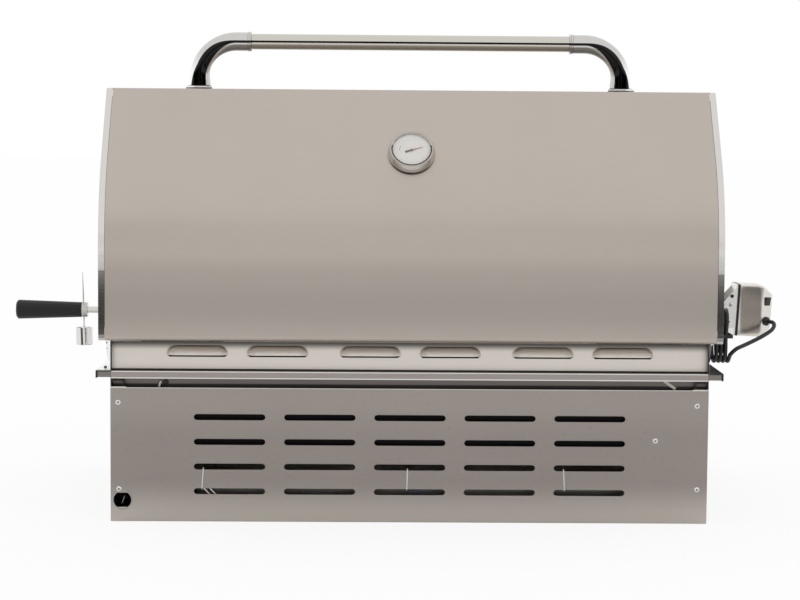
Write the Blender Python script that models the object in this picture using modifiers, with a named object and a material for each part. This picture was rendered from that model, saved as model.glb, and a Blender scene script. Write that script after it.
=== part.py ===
"""A built-in gas grill with its hood open: casing, firebox, hood, rotisserie, burners and controls.

Metres. +X is the cook's right, -Y the front, +Z up. The origin is the middle of the casing's underside.
"""
from math import asin, atan2, ceil, cos, hypot, pi, radians, sin, sqrt, tan

import bmesh
import bpy
from mathutils import Matrix, Vector

# Gaps
GAP = 0.0003            # between pieces that touch
OVERRUN = 0.004         # how far a cutter runs past the surface that it cuts

# Casing
CASING_WIDTH = 0.9525
CASING_DEPTH = 0.520
RIM_TOP = 0.2414        # height of the rim that rests on the counter
RIM_REACH = 0.0236      # how far the rim stands out from the casing's side
RIM_DROP = 0.0117
SIDE_SHEET = 0.002
THIN_SHEET = 0.0015

# Rear panel
PANEL_HEIGHT = 0.215
PANEL_TAB_WIDTH = 0.025
PANEL_TAB_HEIGHT = 0.0012
SLOT_COLUMNS = 5
SLOT_ROWS = 4
SLOT_LENGTH = 0.114
SLOT_HEIGHT = 0.0098
SLOT_COLUMN_PITCH = 0.1435
SLOT_ROW_PITCH = 0.0397
SLOT_LOWEST = 0.0490
HOSE_HOLE_DIAMETER = 0.0284
HOSE_HOLE_HEIGHT = 0.0228
HOSE_HOLE_FROM_EDGE = 0.0188
HOSE_HOLE_RISE = 0.0345

# Firebox
WALL_TOP = 0.290
LINER_INSET = 0.0193    # from the casing's side to the liner's outer face
LINER_BOTTOM = 0.095
STEP_UNDER_RIM = 0.0025
WALL_FRONT_SETBACK = 0.045
REAR_WALL_INSET = 0.015
REAR_WALL_TOP = 0.287
STRIP_DROP = 0.0121
STRIP_RETURN = 0.008
FRONT_WALL_INSET = 0.018
LOUVRE_COUNT_IN_PAIR = 2
LOUVRE_PAIRS = 3
LOUVRE_PITCH = 0.1276
LOUVRE_PAIR_PITCH = 0.2756
LOUVRE_LENGTH = 0.094
LOUVRE_TOP = 0.2815
LOUVRE_BOTTOM = 0.2665
LOUVRE_DEPTH = 0.009
LOUVRE_SKIN = 0.0012
LOUVRE_SLIT = 0.0038      # height of the opening seen below the louvre's lip
LOUVRE_ROUNDING = 0.0085

# Ledges in the firebox, as the height of each ledge's top
GRATE_LEDGE_TOP = 0.2215
TENT_LEDGE_TOP = 0.176
BURNER_LEDGE_TOP = 0.126
FRONT_LEDGE_REACH = 0.014
REAR_LEDGE_REACH = 0.060
REAR_LOW_LEDGE_REACH = 0.040

# Cooking grates
GRATE_COUNT = 4
GRATE_SLOTS = 11
GRATE_DEPTH = 0.008
GRATE_BAR = 0.007
GRATE_SIDE_GAP = 0.002
GRATE_FRONT = -0.236
GRATE_BACK = 0.190
GRATE_END_BAR = 0.012
GRATE_MIDDLE_BAR = 0.010
GRATE_LIFT = 0.035

# Burners and heat tents
BURNER_COUNT = 5
BURNER_PITCH = 0.172
BURNER_RADIUS = 0.019
BURNER_END_RADIUS = 0.0114
BURNER_NECK_RADIUS = 0.011
BURNER_NECK_LENGTH = 0.055
BURNER_FLARE = 0.030
BURNER_BACK = 0.212
BURNER_FRONT_REACH = 0.004
TENT_WIDTH = 0.110
TENT_RISE = 0.024
TENT_BACK = 0.212
REAR_BURNER_WIDTH = 0.600
REAR_BURNER_DEPTH = 0.045
REAR_BURNER_TOP = 0.284
REAR_BURNER_RECESS = 0.006
REAR_BURNER_BORDER = 0.008

# Control panel, knobs and gas manifold
PANEL_FRONT_REACH = 0.075
PANEL_RADIUS = 0.020
PANEL_BOTTOM = 0.004
KNOB_HEIGHT = 0.158
KNOB_RADIUS = 0.024
KNOB_DEPTH = 0.028
KNOB_SKIRT = 0.006
KNOB_GRIP_RADIUS = 0.019
KNOB_RIDGE_WIDTH = 0.008
KNOB_RIDGE_DEPTH = 0.006
KNOB_SHAFT_RADIUS = 0.004
KNOB_SHAFT_HOLE = 0.006
KNOB_STANDOFF = 0.0015
REAR_BURNER_KNOB_X = 0.440
MANIFOLD_RADIUS = 0.010
MANIFOLD_SETBACK = 0.045
MANIFOLD_REACH = 0.030
VALVE_RADIUS = 0.011
VALVE_FRONT = 0.022
VALVE_BACK = 0.018
ORIFICE_RADIUS = 0.005
MANIFOLD_LUG_X = 0.258
MANIFOLD_LUG_WIDTH = 0.020
MANIFOLD_LUG_HEIGHT = 0.014

# Drip tray
TRAY_HALF_WIDTH = 0.432
TRAY_FLANGE = 0.026
TRAY_BOTTOM = 0.022
TRAY_BACK = 0.205
TRAY_FRONT_BOTTOM = 0.014
TRAY_FRONT_TOP = 0.094
TRAY_FRONT_OVERLAP = 0.008
TRAY_HANDLE_REACH = 0.024
TRAY_HANDLE_DROP = 0.010
TRAY_HANDLE_WIDTH = 0.300
RAIL_TOP = 0.058
RAIL_REACH = 0.038
WINDOW_CLEARANCE = 0.003

# Hood, in its open pose
HOOD_WIDTH = 0.976
HOOD_HINGE_Y = 0.165
HOOD_HINGE_Z = 0.300
HOOD_TRAVEL_DEGREES = 75.0
HOOD_LOBE_RADIUS = 0.053
HOOD_BACK_Y = 0.320
HOOD_BACK_BOTTOM = 0.295
HOOD_FLAT_TOP = 0.430
HOOD_BEND_RADIUS = 0.265
HOOD_SLOPE_DEGREES = 36.0
HOOD_SLOPE_RISE = 0.1032  # height of the straight slope above the bend
HOOD_CORNER_RADIUS = 0.008
HOOD_SHEET = 0.0015
HOOD_BAND_WIDTH = 0.010
HOOD_BAND_SHEET = 0.003
HOOD_END_SHEET = 0.002
HOOD_BEND_STEPS = 12
HOOD_CORNER_STEPS = 4
LINER_DEPTH = 0.014
LINER_START = 0.020
LINER_SHORT = 0.024
SPIT_SLOT_FRONT = 0.012
SPIT_SLOT_BACK = 0.022
SPIT_SLOT_ABOVE = 0.016
BRACKET_SLOT_CLEARANCE = 0.006
BRACKET_SLOT_BACK = 0.020

# Hood hinge bolts
BOLT_RADIUS = 0.004
BOLT_HEAD_RADIUS = 0.0075
BOLT_HEAD = 0.004
BOLT_SPACER_RADIUS = 0.0065
BOLT_NUT_RADIUS = 0.007
BOLT_NUT = 0.006
HINGE_TAB_HALF = 0.018
HINGE_TAB_ABOVE = 0.014

# Hood handle
HANDLE_LEG_X = 0.349
HANDLE_FROM_EDGE = 0.075
HANDLE_STAND = 0.079
HANDLE_BAR_RADIUS = 0.01285
HANDLE_ELBOW_RADIUS = 0.01525
HANDLE_BEND_RADIUS = 0.062
HANDLE_BEND_STEPS = 6
HANDLE_ELBOW_REACH = 0.087
HANDLE_COLLAR_RADIUS = 0.0165
HANDLE_COLLAR = 0.006
HANDLE_FLANGE_RADIUS = 0.022
HANDLE_FLANGE = 0.004

# Hood thermometer
GAUGE_SLOPE_SHARE = 0.026  # how far up the slope the thermometer sits
GAUGE_X = 0.0012
GAUGE_RADIUS = 0.0375
GAUGE_TOP_RADIUS = 0.0345
GAUGE_PROUD = 0.0145
GAUGE_RING = 0.003
GAUGE_WELL = 0.0062
GAUGE_GLASS = 0.0015
GAUGE_DIAL = 0.001
GAUGE_STEM_RADIUS = 0.004
GAUGE_STEM = 0.060
GAUGE_STEM_HOLE = 0.0045
NEEDLE_TIP = 0.0175
NEEDLE_TAIL = 0.0105
NEEDLE_WIDTH = 0.0016
NEEDLE_SHEET = 0.0008
NEEDLE_HUB_RADIUS = 0.0022
NEEDLE_REST_DEGREES = 19.0

# Spit
SPIT_Z = 0.3155
SPIT_RADIUS = 0.0055
SPIT_INNER_END = 0.567
SPIT_COLLAR_START = 0.5438
SPIT_COLLAR = 0.0095
SPIT_COLLAR_RADIUS = 0.0125
SPIT_HANDLE = 0.1105
SPIT_HANDLE_NECK_RADIUS = 0.01265
SPIT_HANDLE_END_RADIUS = 0.01625
SPIT_HANDLE_EDGE = 0.003
SPIT_SEAT_GAP = 0.0005
SADDLE_HALF_WIDTH = 0.020
SADDLE_TOP_HALF_WIDTH = 0.014
SADDLE_ABOVE = 0.010
COUNTER_PLACE = 0.007125
COUNTER_LEAN_DEGREES = 1.4
COUNTER_ROD_RADIUS = 0.0016
COUNTER_ROD_UP = 0.064
COUNTER_TAPER = 0.040
COUNTER_TIP_RADIUS = 0.0006
COUNTER_ROD_DOWN = 0.045
WEIGHT_RADIUS = 0.014
WEIGHT_HEIGHT = 0.0306
WEIGHT_TOP_DROP = 0.0290
WEIGHT_TRAVEL = 0.012

# Spit forks
FORK_X = 0.160
FORK_COLLAR_RADIUS = 0.013
FORK_COLLAR = 0.025
FORK_BAR_WIDTH = 0.006
FORK_BAR_HEIGHT = 0.010
FORK_PRONG_RADIUS = 0.003
FORK_PRONG_SPREAD = 0.032
FORK_PRONG = 0.090
FORK_SCREW_RADIUS = 0.004
FORK_SCREW = 0.012
FORK_WING_RADIUS = 0.008
FORK_WING = 0.005
FORK_SCREW_PLACE = 0.015
FORK_SCREW_SEAT = 0.00975
FORK_TRAVEL = 0.200

# Spit motor and its bracket
MOTOR_X = -0.557        # plane where the motor meets its bracket
MOTOR_DROOP_DEGREES = 3.0
MOTOR_HALF_WIDTH = 0.030
MOTOR_HALF_HEIGHT = 0.0435
MOTOR_Z_SHIFT = 0.0090
MOTOR_BASE = 0.004
MOTOR_SOCKET_RADIUS = 0.008
MOTOR_BODY = 0.0387
MOTOR_TAPER = 0.0185
MOTOR_TAPER_SIDE = 0.013
MOTOR_TAPER_TOP = 0.015
MOTOR_WALL = 0.002
MOTOR_GEAR_RADIUS = 0.020
MOTOR_GEAR = 0.026
SWITCH_WIDTH = 0.010
SWITCH_HEIGHT = 0.014
SWITCH_DEPTH = 0.005
SWITCH_RISE = 0.0262
SWITCH_POCKET_GAP = 0.0006
SWITCH_THROW_DEGREES = 16.0
BRACKET_SHEET = 0.002
BRACKET_SHELF_TOP = 0.2955
BRACKET_HALF_WIDTH = 0.030
BRACKET_LEG_BOTTOM = 0.250
BRACKET_GUSSET_START = 0.4915
BRACKET_GUSSET_TOP = 0.068
BRACKET_SHOULDER_X = -0.5335
BRACKET_SHOULDER = 0.040
BRACKET_LIP_DROP = 0.022
BRACKET_LIP_HALF = 0.012

# Cord, hank and plug
CORD_DIAMETER = 0.0068
GLAND_NUT_RADIUS = 0.0075
GLAND_NUT = 0.0030
GLAND_TAPER = 0.0040
GLAND_TAPER_RADIUS = 0.0055
GLAND_DROP = 0.0078
HANK_FIRST_X = -0.5390
HANK_BOTTOM = 0.2370
HANK_HEIGHT = 0.0930
HANK_FOLD_RADIUS = 0.0204
HANK_WAIST_HALF = 0.0158
HANK_START_DEGREES = 228.0
HANK_TURNS = 3.72
HANK_POINTS_PER_TURN = 24
HANK_STEP_GAP = 0.0007
HANK_TAIL_SHIFT = 0.0115
HANK_TAIL_START_TURN = 3.42
HANK_TAIL_END_TURN = 3.66
CORD_SIDES_RESOLUTION = 2
TIE_SHEET = 0.0010
TIE_WIDTH = 0.006
TIE_CLEARANCE = 0.0008
PLUG_LENGTH = 0.034
PLUG_WIDTH = 0.020
PLUG_THICKNESS = 0.014
PLUG_BLADE_LENGTH = 0.012
PLUG_BLADE_WIDTH = 0.0063
PLUG_BLADE_SHEET = 0.0015
PLUG_BLADE_SPREAD = 0.0064
PLUG_BEVEL = 0.003

# Route of the cord from the gland to the hank, by hand
CORD_ROUTE = (
    (-0.6190, 0.0405, 0.3030),
    (-0.6184, 0.0470, 0.2990),
    (-0.6130, 0.0540, 0.2930),
    (-0.6005, 0.0610, 0.2856),
    (-0.5853, 0.0675, 0.2783),
    (-0.5650, 0.0765, 0.2700),
    (-0.5490, 0.0845, 0.2638),
)

# Places that follow from the sizes above
CASING_HALF = CASING_WIDTH / 2
CASING_BACK = CASING_DEPTH / 2
CASING_FRONT = -CASING_DEPTH / 2
SIDE_INNER = CASING_HALF - SIDE_SHEET
RIM_OUTER = CASING_HALF + RIM_REACH
RIM_BOTTOM = RIM_TOP - RIM_DROP
STEP_TOP = RIM_BOTTOM - STEP_UNDER_RIM
SIDE_TOP = STEP_TOP - SIDE_SHEET - GAP
LINER_OUTER = CASING_HALF - LINER_INSET
LINER_INNER = LINER_OUTER - SIDE_SHEET
PANEL_INNER = CASING_BACK - THIN_SHEET
SIDE_BACK = PANEL_INNER - GAP
REAR_WALL_OUTER = CASING_BACK - REAR_WALL_INSET
REAR_WALL_INNER = REAR_WALL_OUTER - SIDE_SHEET
FRONT_WALL_OUTER = CASING_FRONT + FRONT_WALL_INSET
FRONT_WALL_INNER = FRONT_WALL_OUTER + SIDE_SHEET
HOOD_HALF = HOOD_WIDTH / 2
HOOD_SKIN_HALF = HOOD_HALF - HOOD_BAND_WIDTH - GAP
HOOD_END_INNER = HOOD_HALF - HOOD_END_SHEET
PANEL_FACE = CASING_FRONT - PANEL_FRONT_REACH
HOOD_BEND_TOP = HOOD_FLAT_TOP + HOOD_BEND_RADIUS * sin(radians(HOOD_SLOPE_DEGREES))
HOOD_TOP = HOOD_BEND_TOP + HOOD_SLOPE_RISE
CORD_RADIUS = CORD_DIAMETER / 2
HANK_STEP = CORD_DIAMETER + HANK_STEP_GAP
HANK_MIDDLE_X = HANK_FIRST_X + HANK_STEP * HANK_TAIL_START_TURN / 2
HANK_MIDDLE_Y = BRACKET_HALF_WIDTH + BRACKET_SHEET + CORD_RADIUS + GAP + HANK_FOLD_RADIUS

# Finishes, as colour, roughness and metallic value
FINISHES = {
    "brushed_steel": ((0.47, 0.44, 0.41), 0.38, 1.0),
    "hood_steel": ((0.50, 0.47, 0.44), 0.35, 1.0),
    "polished_steel": ((0.72, 0.71, 0.69), 0.10, 1.0),
    "dark_enamel": ((0.03, 0.03, 0.03), 0.35, 0.2),
    "black_plastic": ((0.02, 0.018, 0.02), 0.45, 0.0),
    "black_rubber": ((0.015, 0.014, 0.015), 0.60, 0.0),
    "ceramic": ((0.55, 0.45, 0.36), 0.85, 0.0),
    "dial_white": ((0.62, 0.60, 0.55), 0.50, 0.0),
    "needle_red": ((0.25, 0.03, 0.03), 0.40, 0.0),
    "glass": ((0.85, 0.88, 0.88), 0.05, 0.0),
    "brass": ((0.60, 0.42, 0.16), 0.30, 1.0),
}

COLLECTIONS = {}
MATERIALS = {}


def start_scene():
    """Empties the scene and makes the collections and the materials."""
    for obj in list(bpy.data.objects):
        bpy.data.objects.remove(obj, do_unlink=True)
    for name in ("built_in_gas_grill", "cutters"):
        COLLECTIONS[name] = bpy.data.collections.new(name)
        bpy.context.scene.collection.children.link(COLLECTIONS[name])
    for name, (colour, roughness, metallic) in FINISHES.items():
        material = bpy.data.materials.new(name)
        material.use_nodes = True
        shader = material.node_tree.nodes["Principled BSDF"]
        shader.inputs["Base Color"].default_value = (*colour, 1.0)
        shader.inputs["Roughness"].default_value = roughness
        shader.inputs["Metallic"].default_value = metallic
        MATERIALS[name] = material


def add_object(name, finish, mesh, parent=None):
    """Links a mesh as a part, or as a cutter when it has no finish."""
    obj = bpy.data.objects.new(name, mesh)
    obj.parent = parent
    if finish is None:
        COLLECTIONS["cutters"].objects.link(obj)
        obj.hide_render = True
        obj.display_type = 'WIRE'
    else:
        COLLECTIONS["built_in_gas_grill"].objects.link(obj)
        mesh.materials.append(MATERIALS[finish])
    return obj


def empty_frame(name, location, rotation=(0, 0, 0)):
    """A parent that places and turns the pieces under it."""
    frame = bpy.data.objects.new(name, None)
    frame.location = location
    frame.rotation_euler = rotation
    COLLECTIONS["built_in_gas_grill"].objects.link(frame)
    return frame


def box(name, finish, low, high, parent=None):
    """A block between two corners, with its origin at its middle."""
    mesh = bpy.data.meshes.new(name)
    bm = bmesh.new()
    bmesh.ops.create_cube(bm, size=1)
    bmesh.ops.scale(bm, vec=[b - a for a, b in zip(low, high)], verts=bm.verts)
    bm.to_mesh(mesh)
    bm.free()
    obj = add_object(name, finish, mesh, parent)
    obj.location = [(a + b) / 2 for a, b in zip(low, high)]
    return obj


def mesh_from_curve(curve_object, name, finish, parent=None):
    """Turns a curve into a mesh object with welded caps, in the same place."""
    bpy.context.view_layer.update()
    graph = bpy.context.evaluated_depsgraph_get()
    mesh = bpy.data.meshes.new_from_object(curve_object.evaluated_get(graph))
    mesh.name = name
    mesh.materials.clear()
    bm = bmesh.new()
    bm.from_mesh(mesh)
    bmesh.ops.remove_doubles(bm, verts=bm.verts, dist=1e-7)
    bm.to_mesh(mesh)
    bm.free()
    obj = add_object(name, finish, mesh, parent)
    obj.matrix_basis = curve_object.matrix_basis
    curve_data = curve_object.data
    bpy.data.objects.remove(curve_object, do_unlink=True)
    bpy.data.curves.remove(curve_data)
    return obj


TURNS = {
    "X": Matrix(((0, 0, 1), (1, 0, 0), (0, 1, 0))),
    "Y": Matrix(((1, 0, 0), (0, 0, -1), (0, 1, 0))),
    "Z": Matrix.Identity(3),
}
AXES = {"X": Vector((1, 0, 0)), "Y": Vector((0, 1, 0)), "Z": Vector((0, 0, 1))}


def plate(name, finish, outlines, low, high, along, parent=None):
    """A flat outline with its holes, from low to high along one axis. Points are (y, z), (x, z) or (x, y)."""
    data = bpy.data.curves.new(name, 'CURVE')
    data.dimensions = '2D'
    data.fill_mode = 'BOTH'
    data.extrude = (high - low) / 2
    for outline in outlines:
        spline = data.splines.new('POLY')
        spline.points.add(len(outline) - 1)
        for point, (across, up) in zip(spline.points, outline):
            point.co = (across, up, 0, 1)
        spline.use_cyclic_u = True
    curve_object = bpy.data.objects.new(f"{name}_line", data)
    COLLECTIONS["cutters"].objects.link(curve_object)
    curve_object.matrix_basis = (
        Matrix.Translation(AXES[along] * (low + high) / 2) @ TURNS[along].to_4x4()
    )
    return mesh_from_curve(curve_object, name, finish, parent)


def tube(name, finish, points, radius, resolution, parent=None):
    """A round bar along a line of points, closed at both ends."""
    data = bpy.data.curves.new(name, 'CURVE')
    data.dimensions = '3D'
    data.bevel_depth = radius
    data.bevel_resolution = resolution
    data.use_fill_caps = True
    spline = data.splines.new('POLY')
    spline.points.add(len(points) - 1)
    for target, point in zip(spline.points, points):
        target.co = (*point, 1)
    curve_object = bpy.data.objects.new(f"{name}_line", data)
    COLLECTIONS["cutters"].objects.link(curve_object)
    return mesh_from_curve(curve_object, name, finish, parent)


POINTING = {
    "+X": (0, pi / 2, 0), "-X": (0, -pi / 2, 0),
    "+Y": (-pi / 2, 0, 0), "-Y": (pi / 2, 0, 0),
    "+Z": (0, 0, 0), "-Z": (pi, 0, 0),
}


def turned(name, finish, profile, location, pointing, steps, parent=None):
    """A turned shape. The profile holds (radius, height) from its far end back to its near end."""
    mesh = bpy.data.meshes.new(name)
    bm = bmesh.new()
    verts = [bm.verts.new((radius, 0, height)) for radius, height in profile]
    for first, second in zip(verts, verts[1:]):
        bm.edges.new((first, second))
    bm.to_mesh(mesh)
    bm.free()
    obj = add_object(name, finish, mesh, parent)
    obj.location = location
    obj.rotation_euler = POINTING[pointing] if isinstance(pointing, str) else pointing
    screw = obj.modifiers.new("turn", 'SCREW')
    screw.axis = 'Z'
    screw.steps = steps
    screw.render_steps = steps
    screw.use_merge_vertices = True
    screw.merge_threshold = 1e-6
    screw.use_smooth_shade = True
    return obj


def rod(name, finish, radius, length, location, pointing, steps, parent=None):
    """A plain round bar from location, pointing one way."""
    profile = [(0, length), (radius, length), (radius, 0), (0, 0)]
    return turned(name, finish, profile, location, pointing, steps, parent)


def combine(obj, operation, others):
    """Cuts the other objects out of obj, or joins them to it."""
    for other in others:
        modifier = obj.modifiers.new(other.name, 'BOOLEAN')
        modifier.operation = operation
        modifier.object = other
        modifier.solver = 'EXACT'


def cut(obj, *cutters):
    combine(obj, 'DIFFERENCE', cutters)


def join(obj, *additions):
    combine(obj, 'UNION', additions)


def round_edges(obj, width, segments=2):
    bevel = obj.modifiers.new("rounded edges", 'BEVEL')
    bevel.width = width
    bevel.segments = segments
    bevel.limit_method = 'ANGLE'


def arc(centre, radius, start, end, steps):
    """Points of an arc between two angles in degrees."""
    angles = [radians(start + (end - start) * i / steps) for i in range(steps + 1)]
    return [(centre[0] + radius * cos(a), centre[1] + radius * sin(a)) for a in angles]


def fillet(before, corner, after, radius, steps):
    """Points of an arc that rounds the corner between two straight lines."""
    to_before = (Vector(before) - Vector(corner)).normalized()
    to_after = (Vector(after) - Vector(corner)).normalized()
    half = to_before.angle(to_after) / 2
    middle = (to_before + to_after).normalized()
    centre = Vector(corner) + middle * radius / sin(half)
    first = Vector(corner) + to_before * radius / tan(half) - centre
    turn = pi - 2 * half
    side = 1 if to_before.x * to_after.y - to_before.y * to_after.x < 0 else -1
    points = []
    for i in range(steps + 1):
        a = side * turn * i / steps
        points.append((
            centre.x + first.x * cos(a) - first.y * sin(a),
            centre.y + first.x * sin(a) + first.y * cos(a),
        ))
    return points


def stadium(centre, length, height, steps):
    """A slot outline with round ends."""
    radius = height / 2
    reach = length / 2 - radius
    right = arc((centre[0] + reach, centre[1]), radius, -90, 90, steps)
    left = arc((centre[0] - reach, centre[1]), radius, 90, 270, steps)
    return right + left


def rectangle(low, high):
    return [(low[0], low[1]), (high[0], low[1]), (high[0], high[1]), (low[0], high[1])]


def mirrored(points):
    """The same outline on the cook's left, for points that start with x."""
    return [(-x, z) for x, z in points]


def side_name(side):
    return "right" if side > 0 else "left"


def flip(side, low, high):
    """Corners of a block that lies at +X, moved to the given side."""
    if side > 0:
        return low, high
    return (-high[0], *low[1:]), (-low[0], *high[1:])


# Casing

def make_rear_panel():
    """Slotted panel with corner tabs and the hole for the gas hose."""
    half, tab = CASING_HALF, CASING_HALF - PANEL_TAB_WIDTH
    low, high = 0, PANEL_HEIGHT + PANEL_TAB_HEIGHT
    low_inner, high_inner = PANEL_TAB_HEIGHT, PANEL_HEIGHT
    outline = [
        (-half, low), (-tab, low), (-tab, low_inner), (tab, low_inner), (tab, low), (half, low),
        (half, high), (tab, high), (tab, high_inner), (-tab, high_inner), (-tab, high), (-half, high),
    ]
    slots = []
    for column in range(SLOT_COLUMNS):
        x = (column - (SLOT_COLUMNS - 1) / 2) * SLOT_COLUMN_PITCH
        for row in range(SLOT_ROWS):
            slots.append(stadium((x, SLOT_LOWEST + row * SLOT_ROW_PITCH), SLOT_LENGTH, SLOT_HEIGHT, 4))
    radius = HOSE_HOLE_DIAMETER / 2
    flat = asin(HOSE_HOLE_HEIGHT / HOSE_HOLE_DIAMETER) * 180 / pi
    hole_x = CASING_HALF - HOSE_HOLE_FROM_EDGE
    hole = arc((hole_x, HOSE_HOLE_RISE), radius, -flat, flat, 6)
    hole += arc((hole_x, HOSE_HOLE_RISE), radius, 180 - flat, 180 + flat, 6)
    plate("rear_panel", "brushed_steel", [outline, *slots, hole], PANEL_INNER, CASING_BACK, "Y")


def make_side_panels():
    """Lower casing sides, each with the rail that carries the drip tray."""
    section = [
        (CASING_HALF, 0), (CASING_HALF, SIDE_TOP), (SIDE_INNER, SIDE_TOP), (SIDE_INNER, RAIL_TOP),
        (SIDE_INNER - RAIL_REACH, RAIL_TOP), (SIDE_INNER - RAIL_REACH, RAIL_TOP - THIN_SHEET),
        (SIDE_INNER, RAIL_TOP - THIN_SHEET), (SIDE_INNER, 0),
    ]
    for side in (1, -1):
        outline = section if side > 0 else mirrored(section)
        plate(f"{side_name(side)}_side_panel", "brushed_steel", [outline], CASING_FRONT, SIDE_BACK, "Y")


def make_bottom_pan():
    """Floor of the casing, a flat sheet with turned-up sides."""
    half = SIDE_INNER - GAP
    lip = PANEL_TAB_WIDTH
    section = [
        (-half, 0), (half, 0), (half, lip), (half - THIN_SHEET, lip), (half - THIN_SHEET, THIN_SHEET),
        (-half + THIN_SHEET, THIN_SHEET), (-half + THIN_SHEET, lip), (-half, lip),
    ]
    plate("bottom_pan", "brushed_steel", [section], CASING_FRONT, SIDE_BACK, "Y")


# Firebox

def make_firebox_sides():
    """Firebox side walls, each with rim, step down to the liner, hinge tab and spit saddle."""
    t = SIDE_SHEET
    section = [
        (CASING_HALF, WALL_TOP), (CASING_HALF, RIM_TOP), (RIM_OUTER, RIM_TOP), (RIM_OUTER, RIM_BOTTOM),
        (RIM_OUTER - t, RIM_BOTTOM), (RIM_OUTER - t, RIM_TOP - t), (CASING_HALF, RIM_TOP - t),
        (CASING_HALF, STEP_TOP - t), (LINER_OUTER, STEP_TOP - t), (LINER_OUTER, LINER_BOTTOM),
        (LINER_INNER, LINER_BOTTOM), (LINER_INNER, STEP_TOP), (SIDE_INNER, STEP_TOP), (SIDE_INNER, WALL_TOP),
    ]
    for side in (1, -1):
        name = f"firebox_{side_name(side)}_wall"
        outline = section if side > 0 else mirrored(section)
        wall = plate(name, "brushed_steel", [outline], CASING_FRONT, SIDE_BACK, "Y")
        low = (SIDE_INNER - OVERRUN, CASING_FRONT - OVERRUN, RIM_TOP)
        high = (CASING_HALF + OVERRUN, CASING_FRONT + WALL_FRONT_SETBACK, WALL_TOP + OVERRUN)
        cut(wall, box(f"{name}_front_cut", None, *flip(side, low, high)))
        join(wall, hinge_tab(name, side), rim_end(name, side))
        bolt_hole = rod(f"{name}_bolt_hole", None, BOLT_RADIUS + GAP, 2 * OVERRUN + SIDE_SHEET,
                        (side * (SIDE_INNER - OVERRUN), HOOD_HINGE_Y, HOOD_HINGE_Z),
                        "+X" if side > 0 else "-X", 16)
        cut(wall, bolt_hole)
        if side > 0:
            join(wall, spit_saddle(name))


def rim_end(name, side):
    """Small plate that closes the rear end of the rim, set in a little."""
    low = (CASING_HALF - SIDE_SHEET / 2, SIDE_BACK - 2 * SIDE_SHEET, RIM_BOTTOM + SIDE_SHEET / 2)
    high = (RIM_OUTER - SIDE_SHEET / 2, SIDE_BACK - SIDE_SHEET, RIM_TOP - SIDE_SHEET / 2)
    return box(f"{name}_rim_end", None, *flip(side, low, high))


def hinge_tab(name, side):
    """Raised ear that carries the hood's hinge bolt."""
    top = HOOD_HINGE_Z + HINGE_TAB_ABOVE
    base = WALL_TOP - 2 * OVERRUN
    outline = [
        (HOOD_HINGE_Y + HINGE_TAB_HALF, base), (HOOD_HINGE_Y + HINGE_TAB_HALF, WALL_TOP),
        (HOOD_HINGE_Y + HINGE_TAB_HALF / 2, top), (HOOD_HINGE_Y - HINGE_TAB_HALF / 2, top),
        (HOOD_HINGE_Y - HINGE_TAB_HALF, WALL_TOP), (HOOD_HINGE_Y - HINGE_TAB_HALF, base),
    ]
    low, high = sorted((side * SIDE_INNER, side * CASING_HALF))
    return plate(f"{name}_hinge_tab", None, [outline], low, high, "X")


def spit_saddle(name):
    """Raised ear with the open notch that carries the spit."""
    notch = SPIT_RADIUS + GAP
    base = WALL_TOP - 2 * OVERRUN
    top = SPIT_Z + SADDLE_ABOVE
    outline = [(SADDLE_HALF_WIDTH, base), (SADDLE_HALF_WIDTH, WALL_TOP), (SADDLE_TOP_HALF_WIDTH, top)]
    outline += [(notch, top)] + arc((0, SPIT_Z), notch, 0, -180, 12) + [(-notch, top)]
    outline += [(-SADDLE_TOP_HALF_WIDTH, top), (-SADDLE_HALF_WIDTH, WALL_TOP), (-SADDLE_HALF_WIDTH, base)]
    return plate(f"{name}_spit_saddle", None, [outline], SIDE_INNER, CASING_HALF, "X")


def ledge(name, half, wall_y, reach, top):
    """A shelf that stands out from a wall, reach being negative for one that runs forward."""
    low_y, high_y = sorted((wall_y, wall_y + reach))
    return box(name, None, (-half, low_y, top - SIDE_SHEET), (half, high_y, top))


def make_firebox_rear_wall():
    """Louvred rear wall with the strip that closes the casing's top edge and the ledges inside."""
    half = LINER_INNER - GAP
    upper_half = SIDE_INNER - GAP
    middle = (REAR_WALL_INNER + REAR_WALL_OUTER) / 2
    wall = box("firebox_rear_wall", "brushed_steel",
               (-half, REAR_WALL_INNER, LINER_BOTTOM), (half, REAR_WALL_OUTER, STEP_TOP + OVERRUN))
    upper = box("rear_wall_upper", None,
                (-upper_half, REAR_WALL_INNER, STEP_TOP + GAP), (upper_half, REAR_WALL_OUTER, REAR_WALL_TOP))
    t = THIN_SHEET
    strip_bottom = RIM_TOP - STRIP_DROP
    section = [
        (middle, RIM_TOP), (CASING_BACK, RIM_TOP), (CASING_BACK, strip_bottom),
        (CASING_BACK - STRIP_RETURN, strip_bottom), (CASING_BACK - STRIP_RETURN, strip_bottom + t),
        (CASING_BACK - t, strip_bottom + t), (CASING_BACK - t, RIM_TOP - t), (middle, RIM_TOP - t),
    ]
    strip = plate("rear_wall_strip", None, [section], -upper_half, upper_half, "X")
    join(wall, upper, strip)
    join(
        wall,
        ledge("rear_grate_ledge", half - SIDE_SHEET, middle, -REAR_LEDGE_REACH, GRATE_LEDGE_TOP),
        ledge("rear_tent_ledge", half - SIDE_SHEET, middle, -REAR_LOW_LEDGE_REACH, TENT_LEDGE_TOP),
        ledge("rear_burner_ledge", half - SIDE_SHEET, middle, -REAR_LOW_LEDGE_REACH, BURNER_LEDGE_TOP),
    )
    add_louvres(wall, middle)


def louvre_places():
    """Middles of the louvres along X."""
    places = []
    for pair in range(LOUVRE_PAIRS):
        for index in range(LOUVRE_COUNT_IN_PAIR):
            pair_x = (pair - (LOUVRE_PAIRS - 1) / 2) * LOUVRE_PAIR_PITCH
            places.append(pair_x + (index - (LOUVRE_COUNT_IN_PAIR - 1) / 2) * LOUVRE_PITCH)
    return places


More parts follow.
